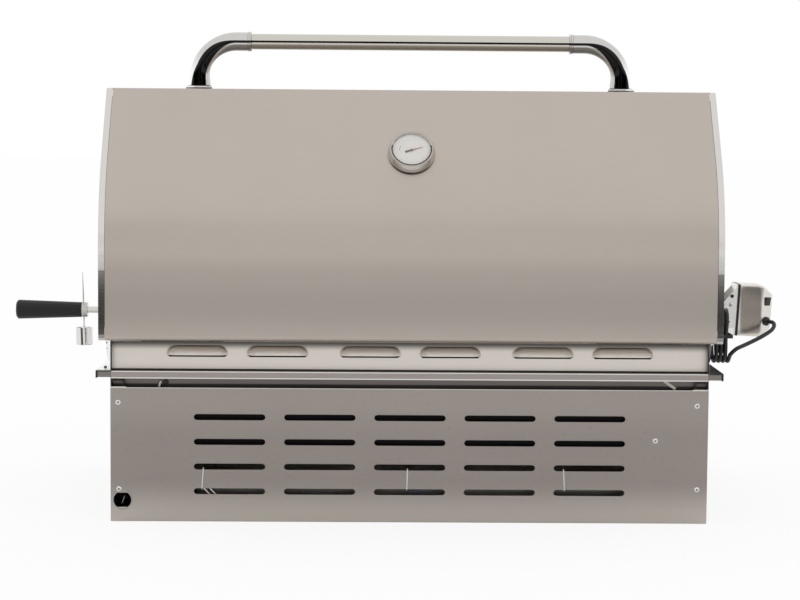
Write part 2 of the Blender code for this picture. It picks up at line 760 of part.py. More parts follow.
def louvre_block(name, x, inset, rounding, segments, floor, back):
    """Half of a rounded block on the rear wall's outer face, kept above a floor and behind a back plane."""
    reach = LOUVRE_LENGTH / 2 - inset
    height = LOUVRE_TOP - LOUVRE_BOTTOM - inset
    depth = LOUVRE_DEPTH - inset
    block = box(name, None, (x - reach, REAR_WALL_OUTER - depth, LOUVRE_BOTTOM - height),
                (x + reach, REAR_WALL_OUTER + depth, LOUVRE_BOTTOM + height))
    round_edges(block, rounding, segments)
    far = LOUVRE_LENGTH
    cut(
        block,
        box(f"{name}_below", None,
            (x - far, REAR_WALL_OUTER - far, floor - far), (x + far, REAR_WALL_OUTER + far, floor)),
        box(f"{name}_behind", None, (x - far, back - far, floor - far), (x + far, back, floor + far)),
    )
    return block


def add_louvres(wall, middle):
    """Hooded vents pressed out of the rear wall, open at their lower edge."""
    skin = LOUVRE_SKIN
    for index, x in enumerate(louvre_places()):
        join(wall, louvre_block(f"louvre_{index}", x, 0, LOUVRE_ROUNDING, 3, LOUVRE_BOTTOM, middle))
        cut(wall, louvre_block(f"louvre_hollow_{index}", x, skin, LOUVRE_ROUNDING - skin, 1,
                               LOUVRE_BOTTOM - LOUVRE_SLIT, REAR_WALL_INNER - OVERRUN / 4))


def make_firebox_front_wall():
    """Front wall with its ledges and the holes for the burner necks."""
    half = LINER_INNER - GAP
    upper_half = SIDE_INNER - GAP
    middle = (FRONT_WALL_INNER + FRONT_WALL_OUTER) / 2
    wall = box("firebox_front_wall", "brushed_steel",
               (-half, FRONT_WALL_OUTER, LINER_BOTTOM), (half, FRONT_WALL_INNER, STEP_TOP + OVERRUN))
    upper = box("front_wall_upper", None,
                (-upper_half, FRONT_WALL_OUTER, STEP_TOP + GAP), (upper_half, FRONT_WALL_INNER, RIM_TOP))
    join(
        wall, upper,
        ledge("front_grate_ledge", half - SIDE_SHEET, middle, FRONT_LEDGE_REACH, GRATE_LEDGE_TOP),
        ledge("front_tent_ledge", half - SIDE_SHEET, middle, FRONT_LEDGE_REACH, TENT_LEDGE_TOP),
    )
    for index, x in enumerate(burner_places()):
        hole = rod(f"burner_hole_{index}", None, BURNER_NECK_RADIUS + GAP, SIDE_SHEET + 2 * OVERRUN,
                   (x, FRONT_WALL_OUTER - OVERRUN, burner_height()), "+Y", 12)
        cut(wall, hole)


# Burners, heat tents and grates

def burner_places():
    return [(i - (BURNER_COUNT - 1) / 2) * BURNER_PITCH for i in range(BURNER_COUNT)]


def burner_height():
    return BURNER_LEDGE_TOP + GAP + BURNER_RADIUS


def make_burners():
    """Tube burners, each with a narrow neck through the front wall and a round end on the rear ledge."""
    front = FRONT_WALL_OUTER - BURNER_FRONT_REACH
    length = BURNER_BACK - front
    neck = BURNER_NECK_LENGTH
    profile = [
        (0, length), (BURNER_END_RADIUS, length), (BURNER_RADIUS, length - BURNER_RADIUS / 2),
        (BURNER_RADIUS, neck + BURNER_FLARE), (BURNER_NECK_RADIUS, neck), (BURNER_NECK_RADIUS, 0), (0, 0),
    ]
    for index, x in enumerate(burner_places()):
        turned(f"burner_{index + 1}", "brushed_steel", profile, (x, front, burner_height()), "+Y", 12)


def make_heat_tents():
    """Folded sheets over the burners, resting on the tent ledges."""
    base = TENT_LEDGE_TOP + GAP
    half = TENT_WIDTH / 2
    lip = TENT_WIDTH / 8
    t = THIN_SHEET
    front = FRONT_WALL_INNER + GAP
    for index, x in enumerate(burner_places()):
        section = [
            (x - half, base), (x - half + lip, base), (x, base + TENT_RISE - t), (x + half - lip, base),
            (x + half, base), (x + half, base + t), (x + half - lip, base + t), (x, base + TENT_RISE),
            (x - half + lip, base + t), (x - half, base + t),
        ]
        plate(f"heat_tent_{index + 1}", "dark_enamel", [section], front, TENT_BACK, "Y")


def make_grates():
    """Barred grates side by side on the grate ledges, each with end bars and a bar across its middle."""
    span = 2 * (LINER_INNER - GRATE_SIDE_GAP)
    width = (span - (GRATE_COUNT - 1) * GRATE_SIDE_GAP) / GRATE_COUNT
    pitch = (width - GRATE_BAR) / GRATE_SLOTS
    middle = (GRATE_FRONT + GRATE_BACK) / 2
    rows = (
        (GRATE_FRONT + GRATE_END_BAR, middle - GRATE_MIDDLE_BAR / 2),
        (middle + GRATE_MIDDLE_BAR / 2, GRATE_BACK - GRATE_END_BAR),
    )
    low = GRATE_LEDGE_TOP + GAP
    for index in range(GRATE_COUNT):
        left = -span / 2 + index * (width + GRATE_SIDE_GAP)
        outlines = [rectangle((left, GRATE_FRONT), (left + width, GRATE_BACK))]
        for slot in range(GRATE_SLOTS):
            start = left + GRATE_BAR + slot * pitch
            for front, back in rows:
                outlines.append(rectangle((start, front), (start + pitch - GRATE_BAR, back)))
        plate(f"cooking_grate_{index + 1}", "dark_enamel", outlines, low, low + GRATE_DEPTH, "Z")


def make_rear_burner():
    """Flat burner on the rear wall that faces the spit, with its recessed ceramic face."""
    half = REAR_BURNER_WIDTH / 2
    back = REAR_WALL_INNER - GAP
    front = back - REAR_BURNER_DEPTH
    bottom = GRATE_LEDGE_TOP + GAP
    housing = box("rear_burner", "ceramic", (-half, front, bottom), (half, back, REAR_BURNER_TOP))
    border = REAR_BURNER_BORDER
    cut(housing, box("rear_burner_recess", None,
                     (-half + border, front - OVERRUN, bottom + border),
                     (half - border, front + REAR_BURNER_RECESS, REAR_BURNER_TOP - border)))


# Control panel, manifold, knobs and drip tray

def panel_section(depth, back):
    """Section of the control panel in Y and Z, moved inwards by depth."""
    corner = (PANEL_FACE + PANEL_RADIUS, RIM_TOP - PANEL_RADIUS)
    bullnose = arc(corner, PANEL_RADIUS - depth, 180, 90, 5)
    return [(back, PANEL_BOTTOM + depth), (PANEL_FACE + depth, PANEL_BOTTOM + depth), *bullnose,
            (back, RIM_TOP - depth)]


def knob_places():
    return [*burner_places(), REAR_BURNER_KNOB_X]


def make_control_panel():
    """Folded front shell, open at the back, with shaft holes and the window for the drip tray."""
    back = CASING_FRONT - GAP
    panel = plate("control_panel", "brushed_steel", [panel_section(0, back)], -RIM_OUTER, RIM_OUTER, "X")
    inner = RIM_OUTER - THIN_SHEET
    cut(panel, plate("control_panel_hollow", None, [panel_section(THIN_SHEET, back + OVERRUN)],
                     -inner, inner, "X"))
    half = TRAY_HALF_WIDTH + TRAY_FLANGE + WINDOW_CLEARANCE
    cut(panel, box("tray_window", None,
                   (-half, PANEL_FACE - OVERRUN, TRAY_FRONT_BOTTOM + TRAY_FRONT_OVERLAP / 2),
                   (half, PANEL_FACE + OVERRUN, TRAY_FRONT_TOP - TRAY_FRONT_OVERLAP / 2)))
    for index, x in enumerate(knob_places()):
        cut(panel, rod(f"shaft_hole_{index}", None, KNOB_SHAFT_HOLE, 2 * OVERRUN,
                       (x, PANEL_FACE - OVERRUN, KNOB_HEIGHT), "+Y", 12))


def make_manifold():
    """Gas pipe behind the panel, with a valve for each knob and two lugs to the front wall."""
    y = PANEL_FACE + MANIFOLD_SETBACK
    places = knob_places()
    start = min(places) - MANIFOLD_REACH
    end = max(places) + MANIFOLD_RADIUS
    pipe = rod("gas_manifold", "brass", MANIFOLD_RADIUS, end - start, (start, y, KNOB_HEIGHT), "+X", 12)
    length = VALVE_FRONT + VALVE_BACK
    nose = FRONT_WALL_OUTER - BURNER_FRONT_REACH - GAP - y + VALVE_FRONT
    profile = [(0, nose), (ORIFICE_RADIUS, nose), (ORIFICE_RADIUS, length), (VALVE_RADIUS, length),
               (VALVE_RADIUS, 0), (0, 0)]
    for index, x in enumerate(places):
        join(pipe, turned(f"valve_{index}", None, profile, (x, y - VALVE_FRONT, KNOB_HEIGHT), "+Y", 8))
    for side in (1, -1):
        x = side * MANIFOLD_LUG_X
        join(pipe, box(f"manifold_lug_{side_name(side)}", None,
                       (x - MANIFOLD_LUG_WIDTH / 2, y, KNOB_HEIGHT - MANIFOLD_LUG_HEIGHT / 2),
                       (x + MANIFOLD_LUG_WIDTH / 2, FRONT_WALL_OUTER - GAP, KNOB_HEIGHT + MANIFOLD_LUG_HEIGHT / 2)))


def make_knobs():
    """Control knobs, each with its shaft to the valve behind the panel."""
    seat = PANEL_FACE - KNOB_STANDOFF
    valve_front = PANEL_FACE + MANIFOLD_SETBACK - VALVE_FRONT - GAP
    shaft = valve_front - seat
    edge = KNOB_SKIRT / 3
    profile = [
        (0, KNOB_DEPTH), (KNOB_GRIP_RADIUS - edge, KNOB_DEPTH), (KNOB_GRIP_RADIUS, KNOB_DEPTH - edge),
        (KNOB_GRIP_RADIUS + edge, KNOB_SKIRT + edge), (KNOB_RADIUS, KNOB_SKIRT), (KNOB_RADIUS, 0),
        (KNOB_SHAFT_RADIUS, 0), (KNOB_SHAFT_RADIUS, -shaft), (0, -shaft),
    ]
    for index, x in enumerate(knob_places()):
        name = f"burner_{index + 1}_knob" if index < BURNER_COUNT else "rear_burner_knob"
        knob = turned(name, "black_plastic", profile, (x, seat, KNOB_HEIGHT), "-Y", 20)
        ridge_half = KNOB_RIDGE_WIDTH / 2
        join(knob, box(f"{name}_ridge", None,
                       (x - ridge_half, seat - KNOB_DEPTH - KNOB_RIDGE_DEPTH, KNOB_HEIGHT - KNOB_GRIP_RADIUS + edge),
                       (x + ridge_half, seat - KNOB_DEPTH + OVERRUN, KNOB_HEIGHT + KNOB_GRIP_RADIUS - edge)))


def make_drip_tray():
    """Sliding tray: a pan with flanges on the rails, a front plate and a folded pull."""
    t = THIN_SHEET
    front = PANEL_FACE - GAP - t
    top = RAIL_TOP + GAP + t
    flange = TRAY_HALF_WIDTH + TRAY_FLANGE
    pan = box("drip_tray", "brushed_steel",
              (-TRAY_HALF_WIDTH, front + t / 2, TRAY_BOTTOM), (TRAY_HALF_WIDTH, TRAY_BACK, top))
    rim = box("tray_flange", None, (-flange, front + t / 2, RAIL_TOP + GAP), (flange, TRAY_BACK, top))
    hollow = box("tray_hollow", None,
                 (-TRAY_HALF_WIDTH + t, front + 2 * t, TRAY_BOTTOM + t),
                 (TRAY_HALF_WIDTH - t, TRAY_BACK - t, top + OVERRUN))
    face_half = flange + TRAY_FRONT_OVERLAP
    face = box("tray_front", None,
               (-face_half, front, TRAY_FRONT_BOTTOM), (face_half, front + t, TRAY_FRONT_TOP))
    grip = TRAY_FRONT_TOP - TRAY_HANDLE_DROP
    pull = [
        (front + t / 2, grip + t), (front - TRAY_HANDLE_REACH, grip + t),
        (front - TRAY_HANDLE_REACH, grip - TRAY_HANDLE_DROP), (front - TRAY_HANDLE_REACH + t, grip - TRAY_HANDLE_DROP),
        (front - TRAY_HANDLE_REACH + t, grip), (front + t / 2, grip),
    ]
    half = TRAY_HANDLE_WIDTH / 2
    join(pan, rim)
    cut(pan, hollow)
    join(pan, face, plate("tray_pull", None, [pull], -half, half, "X"))


# Hood

def hood_line(depth):
    """Hood section in Y and Z, moved inwards by depth: rear lip, back, bend, slope and front face."""
    slope = radians(HOOD_SLOPE_DEGREES)
    centre = (HOOD_BACK_Y - HOOD_BEND_RADIUS, HOOD_FLAT_TOP)
    bend = arc(centre, HOOD_BEND_RADIUS - depth, 0, HOOD_SLOPE_DEGREES, HOOD_BEND_STEPS)
    top = HOOD_TOP - depth
    run = (top - bend[-1][1]) / cos(slope)
    peak = (bend[-1][0] - run * sin(slope), top)
    lip = (hood_lip_start(), HOOD_BACK_BOTTOM + depth)
    corner = (HOOD_BACK_Y - depth, HOOD_BACK_BOTTOM + depth)
    edge = (hood_front_edge(), top)
    radius = max(HOOD_CORNER_RADIUS - depth, HOOD_CORNER_RADIUS / 4)
    return [
        lip, *fillet(lip, corner, bend[0], radius, HOOD_CORNER_STEPS), *bend,
        *fillet(bend[-1], peak, edge, radius, HOOD_CORNER_STEPS), edge,
    ]


def hood_lip_start():
    """Where the hood's rear lip starts, beside the round lobe of its ends."""
    return HOOD_HINGE_Y + sqrt(HOOD_LOBE_RADIUS ** 2 - (HOOD_HINGE_Z - HOOD_BACK_BOTTOM) ** 2)


def hood_front_edge():
    """Y of the hood's front edge: its ends' lower edge lies level when the hood is shut."""
    travel = radians(HOOD_TRAVEL_DEGREES)
    tangent_y = HOOD_HINGE_Y - HOOD_LOBE_RADIUS * sin(travel)
    tangent_z = HOOD_HINGE_Z - HOOD_LOBE_RADIUS * cos(travel)
    return tangent_y - (HOOD_TOP - tangent_z) * cos(travel) / sin(travel)


def sheet_along_x(name, finish, line, half_width, thickness, parent=None):
    """A bent sheet: a line in Y and Z swept along X and thickened towards its inner side."""
    mesh = bpy.data.meshes.new(name)
    bm = bmesh.new()
    verts = [bm.verts.new((-half_width, y, z)) for y, z in line]
    edges = [bm.edges.new(pair) for pair in zip(verts, verts[1:])]
    swept = bmesh.ops.extrude_edge_only(bm, edges=edges)
    moved = [item for item in swept["geom"] if isinstance(item, bmesh.types.BMVert)]
    bmesh.ops.translate(bm, vec=(2 * half_width, 0, 0), verts=moved)
    bmesh.ops.recalc_face_normals(bm, faces=bm.faces)
    bm.to_mesh(mesh)
    bm.free()
    obj = add_object(name, finish, mesh, parent)
    solid = obj.modifiers.new("sheet", 'SOLIDIFY')
    solid.thickness = thickness
    solid.use_even_offset = True
    solid.offset = 0
    return obj


def make_hood():
    """Outer skin, liner and the two ends, all on the hinge axis."""
    hinge = empty_frame("hood_hinge_axis", (0, HOOD_HINGE_Y, HOOD_HINGE_Z))
    half_sheet = HOOD_SHEET / 2

    def local(points):
        return [(y - HOOD_HINGE_Y, z - HOOD_HINGE_Z) for y, z in points]

    skin = sheet_along_x("hood_skin", "hood_steel", local(hood_line(half_sheet)), HOOD_SKIN_HALF,
                         HOOD_SHEET, hinge)
    liner_half = HOOD_END_INNER - GAP
    liner = sheet_along_x("hood_liner", "hood_steel", local(liner_line()), liner_half, HOOD_SHEET, hinge)
    stem = gauge_stem_cutter()
    cut(skin, stem)
    cut(liner, stem)
    for side in (1, -1):
        make_hood_end(side, hinge, local)
    make_hinge_bolts()


def liner_line():
    """The liner follows the skin from just above the rear lip to just inside the front edge."""
    line = hood_line(LINER_DEPTH)
    kept = [(y, z) for y, z in line[1:-1] if z > HOOD_BACK_BOTTOM + LINER_START or y < HOOD_HINGE_Y]
    start = (HOOD_BACK_Y - LINER_DEPTH, HOOD_BACK_BOTTOM + LINER_START)
    end = (line[-1][0] + LINER_SHORT, line[-1][1])
    return [start, *kept, end]


def hood_end_outline():
    """Outline of a hood end: the hood's section, its lower edge and the round lobe at the hinge."""
    travel = HOOD_TRAVEL_DEGREES
    last = -asin((HOOD_HINGE_Z - HOOD_BACK_BOTTOM) / HOOD_LOBE_RADIUS) * 180 / pi
    lobe = arc((HOOD_HINGE_Y, HOOD_HINGE_Z), HOOD_LOBE_RADIUS, 270 - travel, 360 + last, 12)
    return hood_line(0)[1:] + lobe


def make_hood_end(side, hinge, local):
    """One end of the hood: a thin plate with a polished band over the skin's edge."""
    name = f"hood_{side_name(side)}_end"
    low, high = sorted((side * (HOOD_HALF - HOOD_BAND_WIDTH), side * HOOD_HALF))
    end = plate(name, "polished_steel", [local(hood_end_outline())], low, high, "X", hinge)
    inner = hood_line(HOOD_BAND_SHEET)
    beyond = HOOD_LOBE_RADIUS
    pocket = [
        (inner[0][0] - 3 * beyond, inner[0][1] - HOOD_BAND_SHEET - OVERRUN),
        (inner[0][0], inner[0][1] - HOOD_BAND_SHEET - OVERRUN),
        *inner, (inner[-1][0] - beyond, inner[-1][1]), (inner[-1][0] - beyond, HOOD_HINGE_Z - 2 * beyond),
        (inner[0][0] - 3 * beyond, HOOD_HINGE_Z - 2 * beyond),
    ]
    pocket_low, pocket_high = sorted((side * (HOOD_HALF - HOOD_BAND_WIDTH - OVERRUN), side * HOOD_END_INNER))
    cut(end, plate(f"{name}_pocket", None, [local(pocket)], pocket_low, pocket_high, "X", hinge))
    hole = rod(f"{name}_bolt_hole", None, BOLT_RADIUS + GAP, HOOD_BAND_WIDTH + 2 * OVERRUN,
               (side * (HOOD_HALF - HOOD_BAND_WIDTH - OVERRUN), 0, 0), "+X" if side > 0 else "-X", 16, hinge)
    cut(end, hole)
    cut(end, end_slot(name, side))


def end_slot(name, side):
    """Slot for the spit, or on the left for the motor's bracket, drawn in the shut hood's frame."""
    shut = empty_frame(f"{name}_shut", (0, HOOD_HINGE_Y, HOOD_HINGE_Z), (-radians(HOOD_TRAVEL_DEGREES), 0, 0))
    if side > 0:
        front, back = -SPIT_SLOT_FRONT, SPIT_SLOT_BACK
    else:
        front = -BRACKET_HALF_WIDTH - BRACKET_SLOT_CLEARANCE
        back = BRACKET_HALF_WIDTH + BRACKET_SLOT_BACK
    low_x, high_x = sorted((side * (HOOD_HALF - HOOD_BAND_WIDTH - OVERRUN), side * (HOOD_HALF + OVERRUN)))
    low = (low_x, front - HOOD_HINGE_Y, -HOOD_LOBE_RADIUS - OVERRUN)
    high = (high_x, back - HOOD_HINGE_Y, SPIT_Z - HOOD_HINGE_Z + SPIT_SLOT_ABOVE)
    return box(f"{name}_slot", None, low, high, shut)


def make_hinge_bolts():
    """Bolts that carry the hood, fixed in the firebox walls."""
    nut_start = SIDE_INNER - GAP - BOLT_NUT
    spacer_start = CASING_HALF + GAP
    spacer_end = HOOD_END_INNER - GAP
    head_start = HOOD_HALF + GAP
    profile = [
        (0, head_start + BOLT_HEAD), (BOLT_HEAD_RADIUS, head_start + BOLT_HEAD), (BOLT_HEAD_RADIUS, head_start),
        (BOLT_RADIUS, head_start), (BOLT_RADIUS, spacer_end), (BOLT_SPACER_RADIUS, spacer_end),
        (BOLT_SPACER_RADIUS, spacer_start), (BOLT_RADIUS, spacer_start), (BOLT_RADIUS, SIDE_INNER - GAP),
        (BOLT_NUT_RADIUS, SIDE_INNER - GAP), (BOLT_NUT_RADIUS, nut_start), (0, nut_start),
    ]
    for side in (1, -1):
        turned(f"{side_name(side)}_hinge_bolt", "polished_steel", profile,
               (0, HOOD_HINGE_Y, HOOD_HINGE_Z), "+X" if side > 0 else "-X", 16)


def make_handle():
    """Bar and two bent legs on the hood's front face, which faces up while the hood is open."""
    y = hood_front_edge() + HANDLE_FROM_EDGE
    face = HOOD_TOP + GAP
    bar_z = HOOD_TOP + HANDLE_STAND
    elbow_end = HANDLE_LEG_X - HANDLE_ELBOW_REACH
    half = elbow_end - GAP
    rod("handle_bar", "hood_steel", HANDLE_BAR_RADIUS, 2 * half, (-half, y, bar_z), "+X", 20)
    for side in (1, -1):
        name = f"handle_{side_name(side)}_elbow"
        bend_centre = (HANDLE_LEG_X - HANDLE_BEND_RADIUS, bar_z - HANDLE_BEND_RADIUS)
        bend = arc(bend_centre, HANDLE_BEND_RADIUS, 0, 90, HANDLE_BEND_STEPS)
        line = [(HANDLE_LEG_X, face + HANDLE_FLANGE / 2), *bend, (elbow_end + HANDLE_COLLAR / 2, bar_z)]
        elbow = tube(name, "polished_steel", [(side * x, y, z) for x, z in line], HANDLE_ELBOW_RADIUS, 4)
        flange = rod(f"{name}_flange", None, HANDLE_FLANGE_RADIUS, HANDLE_FLANGE,
                     (side * HANDLE_LEG_X, y, face), "+Z", 20)
        collar = rod(f"{name}_collar", None, HANDLE_COLLAR_RADIUS, HANDLE_COLLAR,
                     (side * elbow_end, y, bar_z), "+X" if side > 0 else "-X", 20)
        join(elbow, flange, collar)


# Thermometer

def gauge_frame(name):
    """Frame on the hood's slope with +Z out of the hood."""
    slope = radians(HOOD_SLOPE_DEGREES)
    peak_y, peak_z = slope_point()
    return empty_frame(name, (GAUGE_X, peak_y, peak_z), (slope - pi / 2, 0, 0))


def slope_point():
    """The point of the hood's slope at the thermometer's height."""
    slope = radians(HOOD_SLOPE_DEGREES)
    bend_y = HOOD_BACK_Y - HOOD_BEND_RADIUS + HOOD_BEND_RADIUS * cos(slope)
    rise = HOOD_SLOPE_RISE * GAUGE_SLOPE_SHARE
    return bend_y - rise * tan(slope), HOOD_BEND_TOP + rise


def gauge_stem_cutter():
    frame = gauge_frame("gauge_stem_axis")
    return rod("gauge_stem_hole", None, GAUGE_STEM_HOLE, GAUGE_STEM, (0, 0, -GAUGE_STEM / 2), "+Z", 12, frame)


def make_thermometer():
    """Case with its stem, dial, needle and glass on the hood's slope."""
    frame = gauge_frame("thermometer_frame")
    floor = GAUGE_PROUD - GAUGE_WELL
    well = GAUGE_TOP_RADIUS - GAUGE_RING
    seat_width = GAUGE_RING / 2
    glass_low = GAUGE_PROUD - 2 * GAUGE_GLASS
    profile = [
        (0, floor), (well - seat_width, floor), (well - seat_width, glass_low), (well, glass_low),
        (well, GAUGE_PROUD), (GAUGE_TOP_RADIUS - GAUGE_RING / 3, GAUGE_PROUD),
        (GAUGE_TOP_RADIUS, GAUGE_PROUD - GAUGE_RING / 3), (GAUGE_RADIUS, GAUGE_RING), (GAUGE_RADIUS, GAP),
        (GAUGE_STEM_RADIUS, GAP), (GAUGE_STEM_RADIUS, -GAUGE_STEM), (0, -GAUGE_STEM),
    ]
    turned("thermometer_case", "polished_steel", profile, (0, 0, 0), "+Z", 28, frame)
    dial_top = floor + GAP + GAUGE_DIAL
    rod("thermometer_dial", "dial_white", well - seat_width - GAP, GAUGE_DIAL, (0, 0, floor + GAP), "+Z",
        24, frame)
    rod("thermometer_glass", "glass", well - GAP, GAUGE_GLASS, (0, 0, glass_low + GAP), "+Z", 24, frame)
    angle = pi + radians(NEEDLE_REST_DEGREES)
    pivot = empty_frame("needle_pivot", (0, 0, dial_top + GAP), (0, 0, angle))
    pivot.parent = frame
    needle = plate("thermometer_needle", "needle_red", [[
        (-NEEDLE_TAIL, -NEEDLE_WIDTH), (NEEDLE_TIP, -NEEDLE_WIDTH / 4),
        (NEEDLE_TIP, NEEDLE_WIDTH / 4), (-NEEDLE_TAIL, NEEDLE_WIDTH),
    ]], 0, NEEDLE_SHEET, "Z", pivot)
    join(needle, rod("needle_hub", None, NEEDLE_HUB_RADIUS, 2 * NEEDLE_SHEET, (0, 0, 0), "+Z", 10, pivot))


# Spit and forks

def make_spit():
    """Spit rod with its handle and counterbalance on the cook's right."""
    rod_end = SPIT_COLLAR_START + SPIT_COLLAR / 2
    socket = SPIT_COLLAR / 2
    rod("spit_rod", "polished_steel", SPIT_RADIUS, rod_end + SPIT_INNER_END,
        (-SPIT_INNER_END, 0, SPIT_Z), "+X", 16)
    length = SPIT_COLLAR + SPIT_HANDLE
    edge = SPIT_HANDLE_EDGE
    bore = SPIT_RADIUS + GAP
    profile = [
        (0, length), (SPIT_HANDLE_END_RADIUS - edge, length), (SPIT_HANDLE_END_RADIUS, length - edge),
        (SPIT_HANDLE_NECK_RADIUS, SPIT_COLLAR), (SPIT_COLLAR_RADIUS, SPIT_COLLAR), (SPIT_COLLAR_RADIUS, 0),
        (bore, 0), (bore, socket + GAP), (0, socket + GAP),
    ]
    handle = turned("spit_handle", "black_plastic", profile, (SPIT_COLLAR_START, 0, SPIT_Z), "+X", 16)
    lean = radians(COUNTER_LEAN_DEGREES)
    x = SPIT_COLLAR_START + COUNTER_PLACE
    frame = empty_frame("counterbalance_axis", (x, 0, SPIT_Z), (0, lean, 0))
    rod_profile = [
        (0, COUNTER_ROD_UP), (COUNTER_TIP_RADIUS, COUNTER_ROD_UP),
        (COUNTER_ROD_RADIUS, COUNTER_ROD_UP - COUNTER_TAPER),
        (COUNTER_ROD_RADIUS, -COUNTER_ROD_DOWN), (0, -COUNTER_ROD_DOWN),
    ]
    turned("counterbalance_rod", "polished_steel", rod_profile, (0, 0, 0), "+Z", 8, frame)
    hole = rod("counterbalance_hole", None, COUNTER_ROD_RADIUS + GAP, 2 * (SPIT_COLLAR_RADIUS + OVERRUN),
               (0, 0, -SPIT_COLLAR_RADIUS - OVERRUN), "+Z", 8, frame)
    cut(handle, hole)
    bore = COUNTER_ROD_RADIUS + GAP
    bore_floor = WEIGHT_HEIGHT - (COUNTER_ROD_DOWN - WEIGHT_TOP_DROP + WEIGHT_TRAVEL)
    weight_profile = [
        (0, bore_floor), (bore, bore_floor), (bore, WEIGHT_HEIGHT), (WEIGHT_RADIUS, WEIGHT_HEIGHT),
        (WEIGHT_RADIUS, 0), (0, 0),
    ]
    turned("counterweight", "polished_steel", weight_profile, (0, 0, -WEIGHT_TOP_DROP - WEIGHT_HEIGHT), "+Z",
           20, frame)


def make_forks():
    """Two clamp-on forks that face each other along the spit."""
    for side in (1, -1):
        name = f"{side_name(side)}_fork"
        outward = "+X" if side > 0 else "-X"
        inward = "-X" if side > 0 else "+X"
        start = side * (FORK_X + FORK_COLLAR)
        fork = rod(name, "polished_steel", FORK_COLLAR_RADIUS, FORK_COLLAR, (start, 0, SPIT_Z), inward, 16)
        bar_low, bar_high = sorted((side * FORK_X, side * (FORK_X + FORK_BAR_WIDTH)))
        reach = FORK_PRONG_SPREAD + FORK_PRONG_RADIUS
        join(fork, box(f"{name}_bar", None, (bar_low, -reach, SPIT_Z - FORK_BAR_HEIGHT / 2),
                       (bar_high, reach, SPIT_Z + FORK_BAR_HEIGHT / 2)))
        radius = FORK_PRONG_RADIUS
        prong = [(0, FORK_PRONG), (radius / 4, FORK_PRONG), (radius, FORK_PRONG - 4 * radius),
                 (radius, 0), (0, 0)]
        for y in (-FORK_PRONG_SPREAD, FORK_PRONG_SPREAD):
            join(fork, turned(f"{name}_prong_{y > 0}", None, prong,
                              (side * (FORK_X + FORK_BAR_WIDTH / 2), y, SPIT_Z), inward, 8))
        screw = [
            (0, FORK_SCREW + FORK_WING), (FORK_WING_RADIUS, FORK_SCREW + FORK_WING),
            (FORK_WING_RADIUS, FORK_SCREW),
            (FORK_SCREW_RADIUS, FORK_SCREW), (FORK_SCREW_RADIUS, 0), (0, 0),
        ]
        join(fork, turned(f"{name}_screw", None, screw,
                          (side * (FORK_X + FORK_SCREW_PLACE), 0, SPIT_Z + FORK_SCREW_SEAT), "+Z", 10))
        bore = rod(f"{name}_bore", None, SPIT_RADIUS + GAP, FORK_COLLAR + 2 * OVERRUN,
                   (side * (FORK_X - OVERRUN), 0, SPIT_Z), outward, 16)
        cut(fork, bore)


# Motor

def motor_frame():
    """Frame of the drooping motor, with -X away from the grill."""
    return empty_frame("motor_frame", (MOTOR_X, 0, SPIT_Z), (0, -radians(MOTOR_DROOP_DEGREES), 0))


def make_motor_bracket(frame):
    """Bent bracket bolted inside the left wall: leg, shelf, gussets, upright and the hank's lip."""
    t = BRACKET_SHEET
    half = BRACKET_HALF_WIDTH
    wall_face = SIDE_INNER - GAP
    shelf_low = BRACKET_SHELF_TOP - t
    gusset_top = BRACKET_SHELF_TOP + BRACKET_GUSSET_TOP

    def upright_middle(height):
        return MOTOR_X + (SPIT_Z - height) * tan(radians(MOTOR_DROOP_DEGREES)) + GAP + t / 2

    shelf_end = upright_middle(shelf_low)
    bracket = box("motor_bracket", "polished_steel",
                  (shelf_end, -half, shelf_low), (-wall_face + t, half, BRACKET_SHELF_TOP))
    leg = box("bracket_leg", None,
              (-wall_face, -half, BRACKET_LEG_BOTTOM), (-wall_face + t, half, BRACKET_SHELF_TOP))
    top = MOTOR_HALF_HEIGHT + MOTOR_Z_SHIFT
    low = -MOTOR_HALF_HEIGHT + MOTOR_Z_SHIFT
    upright = box("bracket_upright", None, (GAP, -half, low), (GAP + t, half, top), frame)
    join(bracket, leg, upright)
    gusset = [
        (shelf_end, shelf_low), (-BRACKET_GUSSET_START, shelf_low),
        (-BRACKET_GUSSET_START, BRACKET_SHELF_TOP),
        (BRACKET_SHOULDER_X, BRACKET_SHELF_TOP + BRACKET_SHOULDER), (upright_middle(gusset_top), gusset_top),
    ]
    for y in (-half, half - t):
        join(bracket, plate(f"bracket_gusset_{y > 0}", None, [gusset], y, y + t, "Y"))
    join(bracket, box("bracket_lip", None,
                      (HANK_MIDDLE_X - BRACKET_LIP_HALF, half - t / 2, BRACKET_SHELF_TOP - BRACKET_LIP_DROP),
                      (HANK_MIDDLE_X + BRACKET_LIP_HALF, half + t / 2 + GAP, BRACKET_SHELF_TOP - t / 2)))
    cut(bracket, rod("bracket_spit_hole", None, SPIT_RADIUS + SPIT_SEAT_GAP, 4 * OVERRUN,
                     (MOTOR_X - 2 * OVERRUN, 0, SPIT_Z), "+X", 16))


